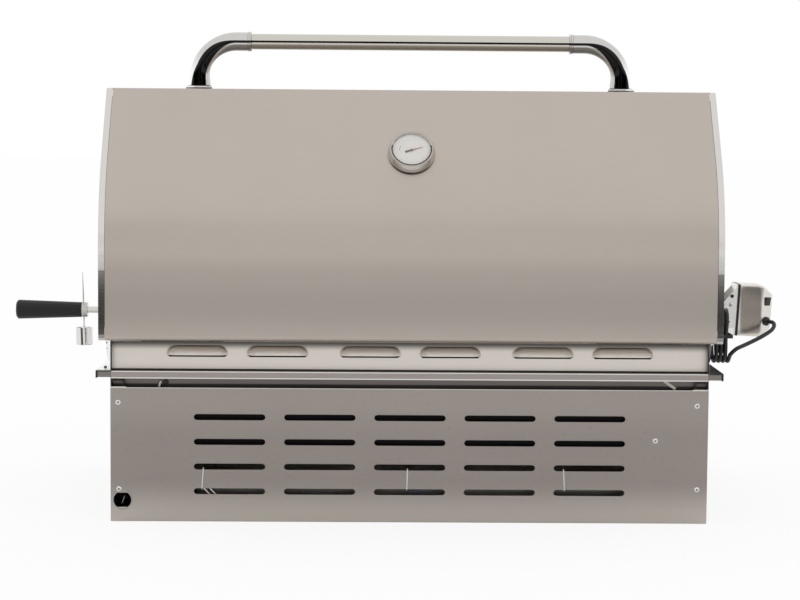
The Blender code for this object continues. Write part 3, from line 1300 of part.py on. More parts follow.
def make_motor(frame):
    """Gasketed base with the gear motor, and the case with its tapered outer end."""
    half, tall = MOTOR_HALF_WIDTH, MOTOR_HALF_HEIGHT
    base = box("motor_base", "dark_enamel",
               (-MOTOR_BASE, -half, MOTOR_Z_SHIFT - tall), (0, half, MOTOR_Z_SHIFT + tall), frame)
    gear_start = (-MOTOR_BASE / 2, 0, 0)
    join(base, rod("gear_motor", None, MOTOR_GEAR_RADIUS, MOTOR_GEAR, gear_start, "-X", 16, frame))
    socket = MOTOR_GEAR / 2 + OVERRUN
    cut(base, rod("drive_socket", None, MOTOR_SOCKET_RADIUS, socket, (OVERRUN, 0, 0), "-X", 16, frame))
    start = -MOTOR_BASE - GAP
    case = tapered_block("motor_case", "brushed_steel", start, MOTOR_BODY, MOTOR_TAPER, half, tall, frame)
    wall = MOTOR_WALL
    hollow = tapered_block("motor_case_hollow", None, start + OVERRUN, MOTOR_BODY + OVERRUN - wall / 2,
                           MOTOR_TAPER - wall, half - wall, tall - wall, frame)
    cut(case, hollow)
    pocket = switch_block("switch_pocket", None, SWITCH_POCKET_GAP, SWITCH_DEPTH, frame)
    cut(case, pocket)
    switch_block("motor_switch", "black_plastic", 0, 0, frame)


def tapered_block(name, finish, start, body, taper, half, tall, frame):
    """A block along -X with a straight body and an outer end that narrows."""
    mesh = bpy.data.meshes.new(name)
    bm = bmesh.new()
    bmesh.ops.create_cube(bm, size=1)
    bmesh.ops.scale(bm, vec=(body, 2 * half, 2 * tall), verts=bm.verts)
    bmesh.ops.translate(bm, vec=(start - body / 2, 0, MOTOR_Z_SHIFT), verts=bm.verts)
    outer = min(bm.faces, key=lambda face: face.calc_center_median().x)
    grown = bmesh.ops.extrude_face_region(bm, geom=[outer])
    bm.faces.remove(outer)
    tip = [item for item in grown["geom"] if isinstance(item, bmesh.types.BMVert)]
    bmesh.ops.translate(bm, vec=(-taper, 0, 0), verts=tip)
    for vert in tip:
        vert.co.y -= MOTOR_TAPER_SIDE if vert.co.y > 0 else -MOTOR_TAPER_SIDE
        above = vert.co.z > MOTOR_Z_SHIFT
        vert.co.z -= MOTOR_TAPER_TOP if above else -MOTOR_TAPER_TOP
    bmesh.ops.recalc_face_normals(bm, faces=bm.faces)
    bm.to_mesh(mesh)
    bm.free()
    return add_object(name, finish, mesh, frame)


def chamfer_place(height):
    """Middle of the motor's rear chamfer at a height and its outward direction, in the motor's frame."""
    x = -MOTOR_BASE - GAP - MOTOR_BODY - MOTOR_TAPER / 2
    y = MOTOR_HALF_WIDTH - MOTOR_TAPER_SIDE / 2
    normal = Vector((-MOTOR_TAPER_SIDE, MOTOR_TAPER, 0)).normalized()
    return Vector((x, y, height)), normal


def chamfer_frame(name, height, frame):
    """Frame on the chamfer with +Z outwards and +Y up."""
    place, normal = chamfer_place(height)
    up = Vector((0, 0, 1))
    across = up.cross(normal)
    turn = Matrix((across, up, normal)).transposed()
    seat = empty_frame(name, place, turn.to_euler())
    seat.parent = frame
    return seat


def switch_block(name, finish, grow, deeper, frame):
    """The rocker, or with grow and deeper the pocket that it rocks in."""
    seat = chamfer_frame(f"{name}_seat", SWITCH_RISE, frame)
    tilt = empty_frame(f"{name}_tilt", (0, 0, 0), (0 if deeper else radians(SWITCH_THROW_DEGREES / 2), 0, 0))
    tilt.parent = seat
    across, up = SWITCH_WIDTH / 2 + grow, SWITCH_HEIGHT / 2 + grow
    low = (-across, -up, -SWITCH_DEPTH / 2 - deeper)
    high = (across, up, SWITCH_DEPTH / 2 + (OVERRUN if deeper else 0))
    return box(name, finish, low, high, tilt)


def make_gland(frame):
    """Cord gland with its tapered strain relief on the motor's chamfer."""
    seat = chamfer_frame("gland_seat", -GLAND_DROP, frame)
    length = GLAND_NUT + GLAND_TAPER
    lip = GLAND_NUT / 5
    profile = [
        (0, length), (CORD_RADIUS + lip / 2, length), (GLAND_TAPER_RADIUS, GLAND_NUT + lip),
        (GLAND_NUT_RADIUS - lip, GLAND_NUT), (GLAND_NUT_RADIUS, GLAND_NUT - lip),
        (GLAND_NUT_RADIUS, GAP), (0, GAP),
    ]
    turned("cord_gland", "black_rubber", profile, (0, 0, 0), "+Z", 16, seat)


def cord_exit():
    """Where the cord leaves the gland, and its direction, in world coordinates."""
    place, normal = chamfer_place(-GLAND_DROP)
    droop = Matrix.Rotation(-radians(MOTOR_DROOP_DEGREES), 3, 'Y')
    origin = Vector((MOTOR_X, 0, SPIT_Z))
    direction = droop @ normal
    return origin + droop @ (place + normal * (GLAND_NUT + GLAND_TAPER + GAP)), direction


# Cord, hank, tie and plug

def smooth_step(share):
    share = min(max(share, 0.0), 1.0)
    return share * share * (3 - 2 * share)


def hank_point(turn):
    """Point of the hank's winding after a number of turns. Its turns lie side by side along X."""
    run = HANK_HEIGHT - CORD_DIAMETER - 2 * HANK_FOLD_RADIUS
    fold = pi * HANK_FOLD_RADIUS
    loop = 2 * (run + fold)
    low_centre = HANK_BOTTOM + CORD_RADIUS + HANK_FOLD_RADIUS
    along = (turn % 1.0) * loop + fold * (HANK_START_DEGREES - 180) / 180
    along %= loop
    if along < fold:
        angle = pi + along / HANK_FOLD_RADIUS
        across, z = HANK_FOLD_RADIUS * cos(angle), low_centre + HANK_FOLD_RADIUS * sin(angle)
    elif along < fold + run:
        height = along - fold
        across, z = waist_half(height / run), low_centre + height
    elif along < 2 * fold + run:
        angle = (along - fold - run) / HANK_FOLD_RADIUS
        across = HANK_FOLD_RADIUS * cos(angle)
        z = low_centre + run + HANK_FOLD_RADIUS * sin(angle)
    else:
        height = loop - along
        across, z = -waist_half(height / run), low_centre + height
    tail = (turn - HANK_TAIL_START_TURN) / (HANK_TAIL_END_TURN - HANK_TAIL_START_TURN)
    x = HANK_FIRST_X + HANK_STEP * turn + HANK_TAIL_SHIFT * smooth_step(tail)
    return Vector((x, HANK_MIDDLE_Y - across, z))


def waist_half(share):
    """Half width of the hank along its runs, drawn in at the waist."""
    drawn = (1 - cos(2 * pi * share)) / 2
    return HANK_FOLD_RADIUS - (HANK_FOLD_RADIUS - HANK_WAIST_HALF) * drawn


def hank_points():
    """The hank's winding, with a straight end of one diameter at both ends."""
    count = round(HANK_TURNS * HANK_POINTS_PER_TURN)
    points = [hank_point(HANK_TURNS * i / count) for i in range(count + 1)]
    first = (points[0] - points[1]).normalized()
    last = (points[-1] - points[-2]).normalized()
    return [points[0] + first * CORD_DIAMETER, *points, points[-1] + last * CORD_DIAMETER]


def least_gap(points, diameter):
    """Least gap of a tube to itself, between points that are some diameters apart along it."""
    skip = ceil(3 * diameter / (points[2] - points[1]).length)
    least = min((a - b).length for i, a in enumerate(points) for b in points[i + skip:])
    return least - diameter


def smooth_route(route, spacing):
    """Points about a spacing apart on a smooth curve through the route's points."""
    ends = [2 * route[0] - route[1], *route, 2 * route[-1] - route[-2]]
    fine = []
    for a, b, c, d in zip(ends, ends[1:], ends[2:], ends[3:]):
        for i in range(16):
            t = i / 16
            fine.append(0.5 * (2 * b + (c - a) * t + (2 * a - 5 * b + 4 * c - d) * t * t
                               + (3 * b - a - 3 * c + d) * t * t * t))
    fine.append(route[-1])
    lengths = [0.0]
    for a, b in zip(fine, fine[1:]):
        lengths.append(lengths[-1] + (b - a).length)
    count = round(lengths[-1] / spacing)
    points = []
    for i in range(count + 1):
        target = lengths[-1] * i / count
        place = max(k for k, length in enumerate(lengths) if length <= target + 1e-12)
        if place == len(fine) - 1:
            points.append(fine[-1])
            continue
        share = (target - lengths[place]) / (lengths[place + 1] - lengths[place])
        points.append(fine[place].lerp(fine[place + 1], share))
    return points


def make_cord():
    """Free stretch from the gland to the hank, the hank, its tie and the plug."""
    wound = hank_points()
    exit_point, exit_direction = cord_exit()
    towards_hank = (wound[1] - wound[0]).normalized()
    meeting = wound[0] - towards_hank * GAP
    route = [
        exit_point, exit_point + exit_direction * CORD_DIAMETER,
        *[Vector(point) for point in CORD_ROUTE],
        meeting - towards_hank * CORD_DIAMETER, meeting,
    ]
    free = smooth_route(route, 2 * CORD_DIAMETER)
    straight = towards_hank * CORD_DIAMETER
    free = [free[0], free[0] + exit_direction * CORD_DIAMETER, *free[1:-1], meeting - straight, meeting]
    tube("power_cord", "black_rubber", free, CORD_RADIUS, CORD_SIDES_RESOLUTION)
    tube("cord_hank", "black_rubber", wound, CORD_RADIUS, 1)
    print("least gap of the hank to itself in mm:", round(1000 * least_gap(wound, CORD_DIAMETER), 3))
    print("length of cord and hank in m:", round(sum((b - a).length for a, b in zip(free, free[1:])), 3),
          round(sum((b - a).length for a, b in zip(wound, wound[1:])), 3))
    make_tie()
    make_plug(wound[-1], (wound[-1] - wound[-2]).normalized())


def make_tie():
    """Band round the hank's waist and the bracket's lip."""
    clear = CORD_RADIUS + TIE_CLEARANCE
    low = Vector((HANK_FIRST_X - clear, BRACKET_HALF_WIDTH - BRACKET_SHEET / 2 - TIE_CLEARANCE))
    high = Vector((HANK_FIRST_X + HANK_STEP * HANK_TAIL_START_TURN, HANK_MIDDLE_Y + HANK_WAIST_HALF))
    high += Vector((clear, clear))
    sheet = Vector((TIE_SHEET, TIE_SHEET))
    middle = HANK_BOTTOM + HANK_HEIGHT / 2
    plate("cord_tie", "black_plastic", [rectangle(low - sheet, high + sheet), rectangle(low, high)],
          middle - TIE_WIDTH / 2, middle + TIE_WIDTH / 2, "Z")


def make_plug(end, direction):
    """Plug that hangs from the hank's last run, with its blades."""
    across = Vector((1, 0, 0)).cross(direction).normalized()
    turn = Matrix((across, direction.cross(across), direction)).transposed()
    frame = empty_frame("plug_frame", end + direction * GAP, turn.to_euler())
    half_width, half_thick = PLUG_WIDTH / 2, PLUG_THICKNESS / 2
    plug = box("power_plug", "black_rubber",
               (-half_width, -half_thick, 0), (half_width, half_thick, PLUG_LENGTH), frame)
    round_edges(plug, PLUG_BEVEL)
    for index in (-1, 1):
        x = index * PLUG_BLADE_SPREAD
        low = (x - PLUG_BLADE_SHEET / 2, -PLUG_BLADE_WIDTH / 2, PLUG_LENGTH - OVERRUN)
        high = (x + PLUG_BLADE_SHEET / 2, PLUG_BLADE_WIDTH / 2, PLUG_LENGTH + PLUG_BLADE_LENGTH)
        join(plug, box(f"plug_blade_{index}", None, low, high, frame))


def shade_round_pieces():
    """Smooth shading, with edges kept sharp where they turn by more than 30 degrees."""
    for obj in COLLECTIONS["built_in_gas_grill"].objects:
        if obj.type == 'MESH':
            obj.data.shade_smooth()
            obj.data.set_sharp_from_angle(angle=radians(30))


def main():
    start_scene()
    make_rear_panel()
    make_side_panels()
    make_bottom_pan()
    make_firebox_sides()
    make_firebox_rear_wall()
    make_firebox_front_wall()
    make_burners()
    make_heat_tents()
    make_grates()
    make_rear_burner()
    make_control_panel()
    make_manifold()
    make_knobs()
    make_drip_tray()
    make_hood()
    make_handle()
    make_thermometer()
    make_spit()
    make_forks()
    frame = motor_frame()
    make_motor_bracket(frame)
    make_motor(frame)
    make_gland(frame)
    make_cord()
    shade_round_pieces()


main()
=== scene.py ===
from math import asin, cos, degrees, pi, radians, sin, sqrt, tan

import bmesh
import bpy
from mathutils import Matrix, Vector


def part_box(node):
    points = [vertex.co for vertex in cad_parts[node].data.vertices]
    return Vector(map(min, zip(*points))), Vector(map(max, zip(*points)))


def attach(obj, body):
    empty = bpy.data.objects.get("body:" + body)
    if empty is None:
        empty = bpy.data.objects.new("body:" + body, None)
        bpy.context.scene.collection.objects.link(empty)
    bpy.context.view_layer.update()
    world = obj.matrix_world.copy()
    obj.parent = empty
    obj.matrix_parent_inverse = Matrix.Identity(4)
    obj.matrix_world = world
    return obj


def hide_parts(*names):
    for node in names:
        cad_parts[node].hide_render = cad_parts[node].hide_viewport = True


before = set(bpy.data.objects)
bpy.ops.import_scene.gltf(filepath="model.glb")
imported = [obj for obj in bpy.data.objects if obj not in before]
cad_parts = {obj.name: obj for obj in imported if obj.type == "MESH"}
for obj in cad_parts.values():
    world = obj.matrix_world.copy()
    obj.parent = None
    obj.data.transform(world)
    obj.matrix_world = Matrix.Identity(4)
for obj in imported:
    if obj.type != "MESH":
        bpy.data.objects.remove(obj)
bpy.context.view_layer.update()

# Places and sizes that the pieces and their finishes share, in metres
PANEL_BACK = 0.260
PANEL_TOP = 0.2152
PANEL_FACE = -0.335
RIM_OUTER = 0.49985
RIM_TOP = 0.2414
RIM_BOTTOM = 0.2297
RIM_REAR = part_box("firebox_right_wall")[1][1]
STRIP_BOTTOM = 0.2293
GAP_MIDDLE = 0.2198
REAR_WALL_BACK = 0.245
LOUVRE_PLACES = [pair * 0.2756 + side * 0.0638 for pair in (-1, 0, 1) for side in (-1, 1)]
LOUVRE_HALF = 0.0485
LOUVRE_LOW = 0.2649
LOUVRE_HIGH = 0.2812
LOUVRE_OUT = 0.0086
KNOB_HEIGHT = 0.158
KNOB_PLACES = (-0.344, -0.172, 0.0, 0.172, 0.344, 0.440)
SPIT_Z = 0.3155
SPIT_COLLAR_END = 0.5533
COUNTER_AXIS = Vector((0.02443, 0, 0.9997))
COUNTER_PLACE = Vector((0.55093, 0, SPIT_Z))
HOOD_HINGE = Vector((0, 0.165, 0.300))
HOOD_SLOPE = radians(36)
GAUGE_PLACE = Vector((0.0012, 0.26744, 0.58845))
GAUGE_FLOOR = 0.0083
GAUGE_TOP = 0.0145
DIAL_TOP = 0.0096
MOTOR_PLACE = Vector((-0.557, 0, SPIT_Z))
MOTOR_DROOP = radians(3)
MOTOR_RISE = 0.009
BAR_LOW, BAR_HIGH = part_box("handle_bar")
BAR_Y = (BAR_LOW[1] + BAR_HIGH[1]) / 2
BAR_Z = (BAR_LOW[2] + BAR_HIGH[2]) / 2
LEG_X = 0.349
LEG_BEND = 0.062
LEG_TUBE = 0.01525


# Shader maths

class Socket:
    """An output of a finish's nodes. Sums and products of sockets add the nodes for them."""

    def __init__(self, finish, output):
        self.finish = finish
        self.output = output

    def math(self, operation, *values):
        return self.finish.add('ShaderNodeMath', {"operation": operation}, values)

    def __add__(self, other):
        return self.math('ADD', self, other)

    def __sub__(self, other):
        return self.math('SUBTRACT', self, other)

    def __rsub__(self, other):
        return self.math('SUBTRACT', other, self)

    def __mul__(self, other):
        return self.math('MULTIPLY', self, other)

    def __truediv__(self, other):
        return self.math('DIVIDE', self, other)

    def __pow__(self, other):
        return self.math('POWER', self, other)

    def __abs__(self):
        return self.math('ABSOLUTE', self)

    __radd__ = __add__
    __rmul__ = __mul__

    def at_least(self, low):
        return self.math('MAXIMUM', self, low)

    def between(self, low, high):
        """0 below low, 1 above high and a smooth rise between."""
        return self.finish.add('ShaderNodeMapRange', {"interpolation_type": 'SMOOTHSTEP'},
                               {"Value": self, "From Min": low, "From Max": high})


class Finish:
    """A material with one Principled shader."""

    def __init__(self, name, colour, roughness, metallic=0.0, **constants):
        self.material = bpy.data.materials.new(name)
        self.material.use_nodes = True
        self.nodes = self.material.node_tree.nodes
        self.links = self.material.node_tree.links
        self.shader = self.nodes["Principled BSDF"]
        self.set("Base Color", (*colour, 1.0))
        self.set("Roughness", roughness)
        self.set("Metallic", metallic)
        for socket_name, value in constants.items():
            self.set(socket_name.replace("_", " "), value)

    def feed(self, socket, value):
        """Gives a node's socket a value or a link."""
        if isinstance(value, Socket):
            self.links.new(value.output, socket)
        else:
            socket.default_value = value

    def set(self, name, value):
        self.feed(self.shader.inputs[name], value)

    def add(self, kind, settings=None, inputs=(), output=0):
        """One node: its settings first, then the values or links of its sockets."""
        node = self.nodes.new(kind)
        for name, value in (settings or {}).items():
            setattr(node, name, value)
        pairs = inputs.items() if isinstance(inputs, dict) else enumerate(inputs)
        for name, value in pairs:
            self.feed(node.inputs[name], value)
        return Socket(self, node.outputs[output])

    def place(self):
        """The point of the surface, in the object's own metres."""
        return self.add('ShaderNodeTexCoord', output="Object")

    def axes(self):
        """X, Y and Z of that point."""
        parts = self.add('ShaderNodeSeparateXYZ', inputs=[self.place()])
        return [Socket(self, output) for output in parts.output.node.outputs]

    def noise(self, scale, detail=2.0, stretch=(1, 1, 1)):
        """Noise between 0 and 1, with its grain drawn out where the stretch is small."""
        turned = self.add('ShaderNodeMapping', inputs={"Vector": self.place(), "Scale": stretch})
        return self.add('ShaderNodeTexNoise', inputs={"Vector": turned, "Scale": scale, "Detail": detail},
                        output="Fac")

    def mix_colours(self, share, first, second):
        first, second = ((*tint, 1.0) if isinstance(tint, tuple) else tint for tint in (first, second))
        return self.add('ShaderNodeMix', {"data_type": 'RGBA'}, {0: share, 6: first, 7: second}, output=2)

    def paint(self, surface, layers):
        """Sets the colour: a surface and over it the layers, each a mask and its tint."""
        for mask, tint in layers:
            surface = self.mix_colours(mask, surface, tint)
        self.set("Base Color", surface)

    def bump(self, height, distance, strength):
        self.set("Normal", self.add('ShaderNodeBump', inputs={
            "Height": height, "Distance": distance, "Strength": strength}, output="Normal"))


BRUSH_X = (1, 60, 60)
BRUSH_Z = (60, 60, 1)
TONE_REACH = 0.2


def brushed_steel(name, colour, roughness, brush=BRUSH_X, grain=0.04, cloud=0.03, blotch=0.0,
                  layers=lambda steel: ()):
    """Stainless steel with fine drawn grain and faint clouds. Layers gives masks with the colour of each."""
    steel = Finish(name, colour, roughness, 1.0)
    streaks = steel.noise(14, 4, brush)
    clouds = steel.noise(7, 3)
    tone = 1 + (streaks - 0.5) * grain * 2 + (clouds - 0.5) * cloud * 2
    if blotch:
        tone = tone - steel.noise(160).between(0.60, 0.72) * blotch
    dark, light = (tuple(c * share for c in colour) for share in (1 - TONE_REACH, 1 + TONE_REACH))
    surface = steel.mix_colours((tone - (1 - TONE_REACH)) * (0.5 / TONE_REACH), dark, light)
    steel.paint(surface, layers(steel))
    steel.set("Roughness", roughness + (streaks - 0.5) * 0.10)
    steel.bump(streaks, 0.00002, 0.25)
    return steel.material


def plain(name, colour, roughness, metallic=0.0, **constants):
    return Finish(name, colour, roughness, metallic, **constants).material


def moulded(name, colour, roughness, grain=900):
    """Black plastic or rubber with a fine grain."""
    finish = Finish(name, colour, roughness)
    texture = finish.noise(grain)
    finish.bump(texture, 0.00004, 0.4)
    finish.set("Roughness", roughness + (texture - 0.5) * 0.1)
    return finish.material


def band(value, low, high, soft=0.0003):
    """1 between low and high, with soft borders."""
    return value.between(low - soft, low) * (1 - value.between(high, high + soft))


# Tones of the steel pieces, and the light and shade painted on them

# Painted shade for edges, seams and gaps, and the tone of the floor's painted reflection
EDGE_SHADE = (0.05, 0.045, 0.045)
SEAM_SHADE = (0.06, 0.055, 0.05)
FLOOR_REFLECTION_TONE = (0.62, 0.57, 0.52)


def wall_layers(steel):
    """Painted shade under the hood, painted highlights on the louvres' tops and painted shade under their
    lips, the strip with painted highlights on its hems, painted shade in the seam above it and on the hidden
    part seen in the gap.
    """
    _, depth, height = steel.axes()
    raised = depth.between(REAR_WALL_BACK + 0.0005, REAR_WALL_BACK + 0.0040)
    standing = depth.between(REAR_WALL_BACK + 0.0012, REAR_WALL_BACK + 0.0030)
    # painted highlight along the louvres' upper parts
    louvre_top_highlight = raised * height.between(0.2690, 0.2740) * 0.7
    shade = height.between(0.2725, 0.2865) * (0.95 - raised * 0.55)
    # painted shade under the louvres' lips
    lip = band(height, LOUVRE_LOW - 0.0002, LOUVRE_LOW + 0.0011, 0.0002) * standing
    strip = 1 - height.between(RIM_TOP, RIM_TOP + 0.0003)
    # painted highlights on the strip's rolled hems
    hem_highlights = band(height, STRIP_BOTTOM, STRIP_BOTTOM + 0.0016) + band(height, RIM_TOP - 0.0016, RIM_TOP)
    # painted shade in the seam over the strip
    seam_shade = band(height, RIM_TOP, RIM_TOP + 0.0022)
    # painted shade on the wall below the strip, seen through the gap
    under_strip_shade = 1 - height.between(0.2125, 0.2130)
    return [(louvre_top_highlight, (1.0, 0.95, 0.88)), (shade, (0.07, 0.065, 0.06)), (lip, (0.015, 0.013, 0.012)),
            (strip, (0.39, 0.352, 0.335)), (hem_highlights, (0.85, 0.81, 0.76)), (seam_shade, SEAM_SHADE),
            (under_strip_shade, (0.012, 0.011, 0.011))]


def gap_shade_layers(steel):
    """Painted shade in the gap under the strip, darker downwards."""
    return [(1 - steel.axes()[2].between(GAP_MIDDLE - 0.001, GAP_MIDDLE + 0.001), (0.05, 0.043, 0.042))]


def panel_layers(steel):
    """The rear panel has a painted reflection of the floor near its lower edge and faintly higher up, and a
    painted highlight on its upper edge.
    """
    height = steel.axes()[2]
    return [((1 - height.between(0.000, 0.070)) * 0.8, FLOOR_REFLECTION_TONE),
            (height.between(0.130, 0.200) * 0.16, FLOOR_REFLECTION_TONE),
            (height.between(PANEL_TOP - 0.0016, PANEL_TOP - 0.0008) * 0.8, (0.80, 0.76, 0.71))]


def side_layers(steel):
    """Painted shade on the flange of a side panel, behind the gap over the rear panel."""
    _, depth, height = steel.axes()
    return [(height.between(PANEL_TOP - 0.001, PANEL_TOP) * depth.between(0.20, 0.21), EDGE_SHADE)]


def rim_layers(top_tint):
    """Layers of a rim: a painted tint on its top, painted shade as a dark frame round the plate at its rear
    end, along its rear edge and below it.
    """
    def layers(steel):
        across, depth, height = steel.axes()
        top = height.between(RIM_TOP - 0.0006, RIM_TOP - 0.0003)
        rear = depth.between(RIM_REAR - 0.0120, RIM_REAR - 0.0110)
        side = abs(across).between(RIM_OUTER - 0.0036, RIM_OUTER - 0.0030)
        plate = (side + height.between(RIM_TOP - 0.0020, RIM_TOP - 0.0016)).between(0.1, 0.9)
        above = height.between(RIM_TOP + 0.0004, RIM_TOP + 0.0010)
        edge = depth.between(RIM_REAR - 0.0015, RIM_REAR - 0.0010) * above
        low = 1 - height.between(RIM_BOTTOM - 0.0010, RIM_BOTTOM - 0.0005)
        return [(top, top_tint), (rear * plate, SEAM_SHADE), (edge, EDGE_SHADE), (low, EDGE_SHADE)]
    return layers


def hood_layers(steel):
    """Painted reflections on the open hood's back: a lighter zone where it begins to bend and a darker one
    above its lip.
    """
    _, depth, height = steel.axes()
    back = depth.between(0.28, 0.30)
    light = height.between(0.3945, 0.4395) * (1 - height.between(0.4445, 0.4795)) * back
    dark = height.between(0.3045, 0.3395) * (1 - height.between(0.3545, 0.3995)) * back
    return [(light, (0.61, 0.549, 0.488)), (dark, (0.45, 0.405, 0.36))]


def motor_layers(steel):
    """The motor's faces get lighter towards their rounded borders, a painted highlight."""
    middle_x, middle_z, half_x, half_z = -0.5815, 0.3245, 0.0200, 0.0430
    across, _, height = steel.axes()
    side = abs((across - middle_x) * (1 / half_x))
    rise = abs((height - middle_z) * (1 / half_z))
    return [((side ** 6 + rise ** 10).between(0.15, 0.9), (0.74, 0.71, 0.66))]


def ring_layers(steel):
    """The thermometer's case has a painted darker reflection on its lip and painted shade at its foot."""
    _, depth, height = steel.axes()
    out = (depth - GAUGE_PLACE.y) * cos(HOOD_SLOPE) + (height - GAUGE_PLACE.z) * sin(HOOD_SLOPE)
    return [(out.between(GAUGE_TOP - 0.0016, GAUGE_TOP - 0.0008), (0.47, 0.44, 0.40)),
            (1 - out.between(0.0018, 0.0034), (0.25, 0.23, 0.21))]


def lobe_layers(steel):
    """The polished ends have a painted white reflection below the hood's edge, and a painted dark reflection
    in the lower part of their rear bands.
    """
    across, depth, height = steel.axes()
    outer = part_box("hood_right_end")[1][0]
    edge = 1 - abs(across).between(outer - 0.0004, outer - 0.0002)
    rear = depth.between(0.312, 0.316) * edge
    return [((1 - height.between(0.2952, 0.2960)) * edge, (0.97, 0.97, 0.97)),
            (band(height, 0.3000, 0.4040, 0.002) * rear, (0.30, 0.285, 0.27))]


RIM_TONE = (0.24, 0.225, 0.21)
HOOD_STEEL = brushed_steel("hood_brushed_steel", (0.50, 0.45, 0.40), 0.34, layers=hood_layers)
WALL_STEEL = brushed_steel("wall_brushed_steel", (0.81, 0.757, 0.695), 0.40, layers=wall_layers)
PANEL_STEEL = brushed_steel("rear_panel_steel", (0.325, 0.291, 0.27), 0.38, grain=0.05, cloud=0.05,
                            blotch=0.06, layers=panel_layers)
# A dark copy of the wall steel: painted shade for the sheet seen in the gap under the strip
GAP_SHADE_STEEL = brushed_steel("gap_shade_steel", (0.20, 0.175, 0.167), 0.45, grain=0.12, layers=gap_shade_layers)
ROD_STEEL = plain("rod_steel", (0.66, 0.64, 0.61), 0.14, 1.0)
SIDE_STEEL = brushed_steel("side_panel_steel", (0.44, 0.40, 0.37), 0.38, grain=0.05, cloud=0.05,
                           layers=side_layers)
# Rim tops: painted shade on the left rim, a painted white reflection of the room on the right
LEFT_RIM_STEEL = brushed_steel("left_rim_steel", RIM_TONE, 0.30, layers=rim_layers(EDGE_SHADE))
RIGHT_RIM_STEEL = brushed_steel("right_rim_steel", RIM_TONE, 0.30, layers=rim_layers((0.96, 0.96, 0.96)))
BRACKET_STEEL = brushed_steel("bracket_steel", (0.78, 0.77, 0.75), 0.22, grain=0.02)
FRONT_STEEL = brushed_steel("front_brushed_steel", (0.56, 0.54, 0.51), 0.30)
INNER_STEEL = brushed_steel("inner_steel", (0.40, 0.38, 0.36), 0.42)
MOTOR_STEEL = brushed_steel("motor_brushed_steel", (0.315, 0.28, 0.25), 0.26, brush=BRUSH_Z, grain=0.03,
                            layers=motor_layers)
CHROME = plain("polished_steel", (0.78, 0.77, 0.75), 0.06, 1.0)
BAND_STEEL = brushed_steel("polished_band", (0.66, 0.64, 0.62), 0.08, grain=0.01, cloud=0.01,
                           layers=lobe_layers)
RING_STEEL = brushed_steel("ring_steel", (0.66, 0.625, 0.59), 0.16, grain=0.01, cloud=0.01,
                           layers=ring_layers)
ZINC = plain("zinc_plate", (0.82, 0.82, 0.80), 0.26, 1.0)
DULL_ZINC = plain("dull_zinc", (0.42, 0.42, 0.40), 0.40, 1.0)
DARK_ZINC = plain("dark_zinc", (0.05, 0.047, 0.045), 0.40, 1.0)
BLACK_PLASTIC = moulded("black_plastic", (0.016, 0.014, 0.016), 0.38)
BLACK_RUBBER = moulded("black_rubber", (0.010, 0.009, 0.010), 0.50)
CORD_BLACK = moulded("cord_black", (0.012, 0.011, 0.013), 0.42, 300)
ENAMEL = plain("black_enamel", (0.02, 0.02, 0.02), 0.28)
GRATE_STEEL = brushed_steel("grate_steel", (0.30, 0.28, 0.27), 0.35)
BRASS = plain("brass", (0.62, 0.44, 0.18), 0.28, 1.0)
DIAL_FACE = plain("dial_face", (0.68, 0.66, 0.625), 0.55)
DIAL_INK = plain("dial_ink", (0.10, 0.10, 0.10), 0.6)
PALE_INK = plain("pale_dial_ink", (0.36, 0.36, 0.34), 0.6)
GLASS = plain("clear_glass", (1.0, 1.0, 1.0), 0.10, 0.0, Specular_IOR_Level=0.2, Alpha=0.05)
TIE_WHITE = plain("white_tie", (0.75, 0.74, 0.70), 0.5)
TIE_CREAM = plain("cream_tie", (0.62, 0.58, 0.50), 0.5)
LEAD_BLUE = plain("blue_lead", (0.03, 0.03, 0.16), 0.5)
# Near-black painted shade for slits, gaps, holes and screw slots
SHADOW_SEAM = plain("painted_shadow", (0.02, 0.018, 0.016), 0.8)


def ceramic_finish():
    """Pale burner ceramic with rows of small dark ports."""
    pale = (0.50, 0.40, 0.31)
    finish = Finish("burner_ceramic", pale, 0.85)
    ports = finish.add('ShaderNodeTexVoronoi', output="Distance", inputs={
        "Vector": finish.place(), "Scale": 260, "Randomness": 0.15})
    finish.paint(pale, [(1 - ports.between(0.22, 0.34), (0.05, 0.04, 0.035))])
    return finish.material


def bar_finish():
    """Polished bar with a painted reflection of the room: a narrow dark line and a darker lower half."""
    pale = (0.60, 0.58, 0.53)
    finish = Finish("handle_bar_steel", pale, 0.10, 1.0)
    _, depth, height = finish.axes()
    rear = depth.between(BAR_Y + 0.004, BAR_Y + 0.006)
    line = band(height, BAR_Z - 0.0012, BAR_Z + 0.0014) * rear
    lower = (1 - height.between(BAR_Z - 0.0070, BAR_Z - 0.0045)) * rear
    finish.paint(pale, [(lower * 0.8, (0.30, 0.28, 0.25)), (line, (0.015, 0.012, 0.008))])
    return finish.material


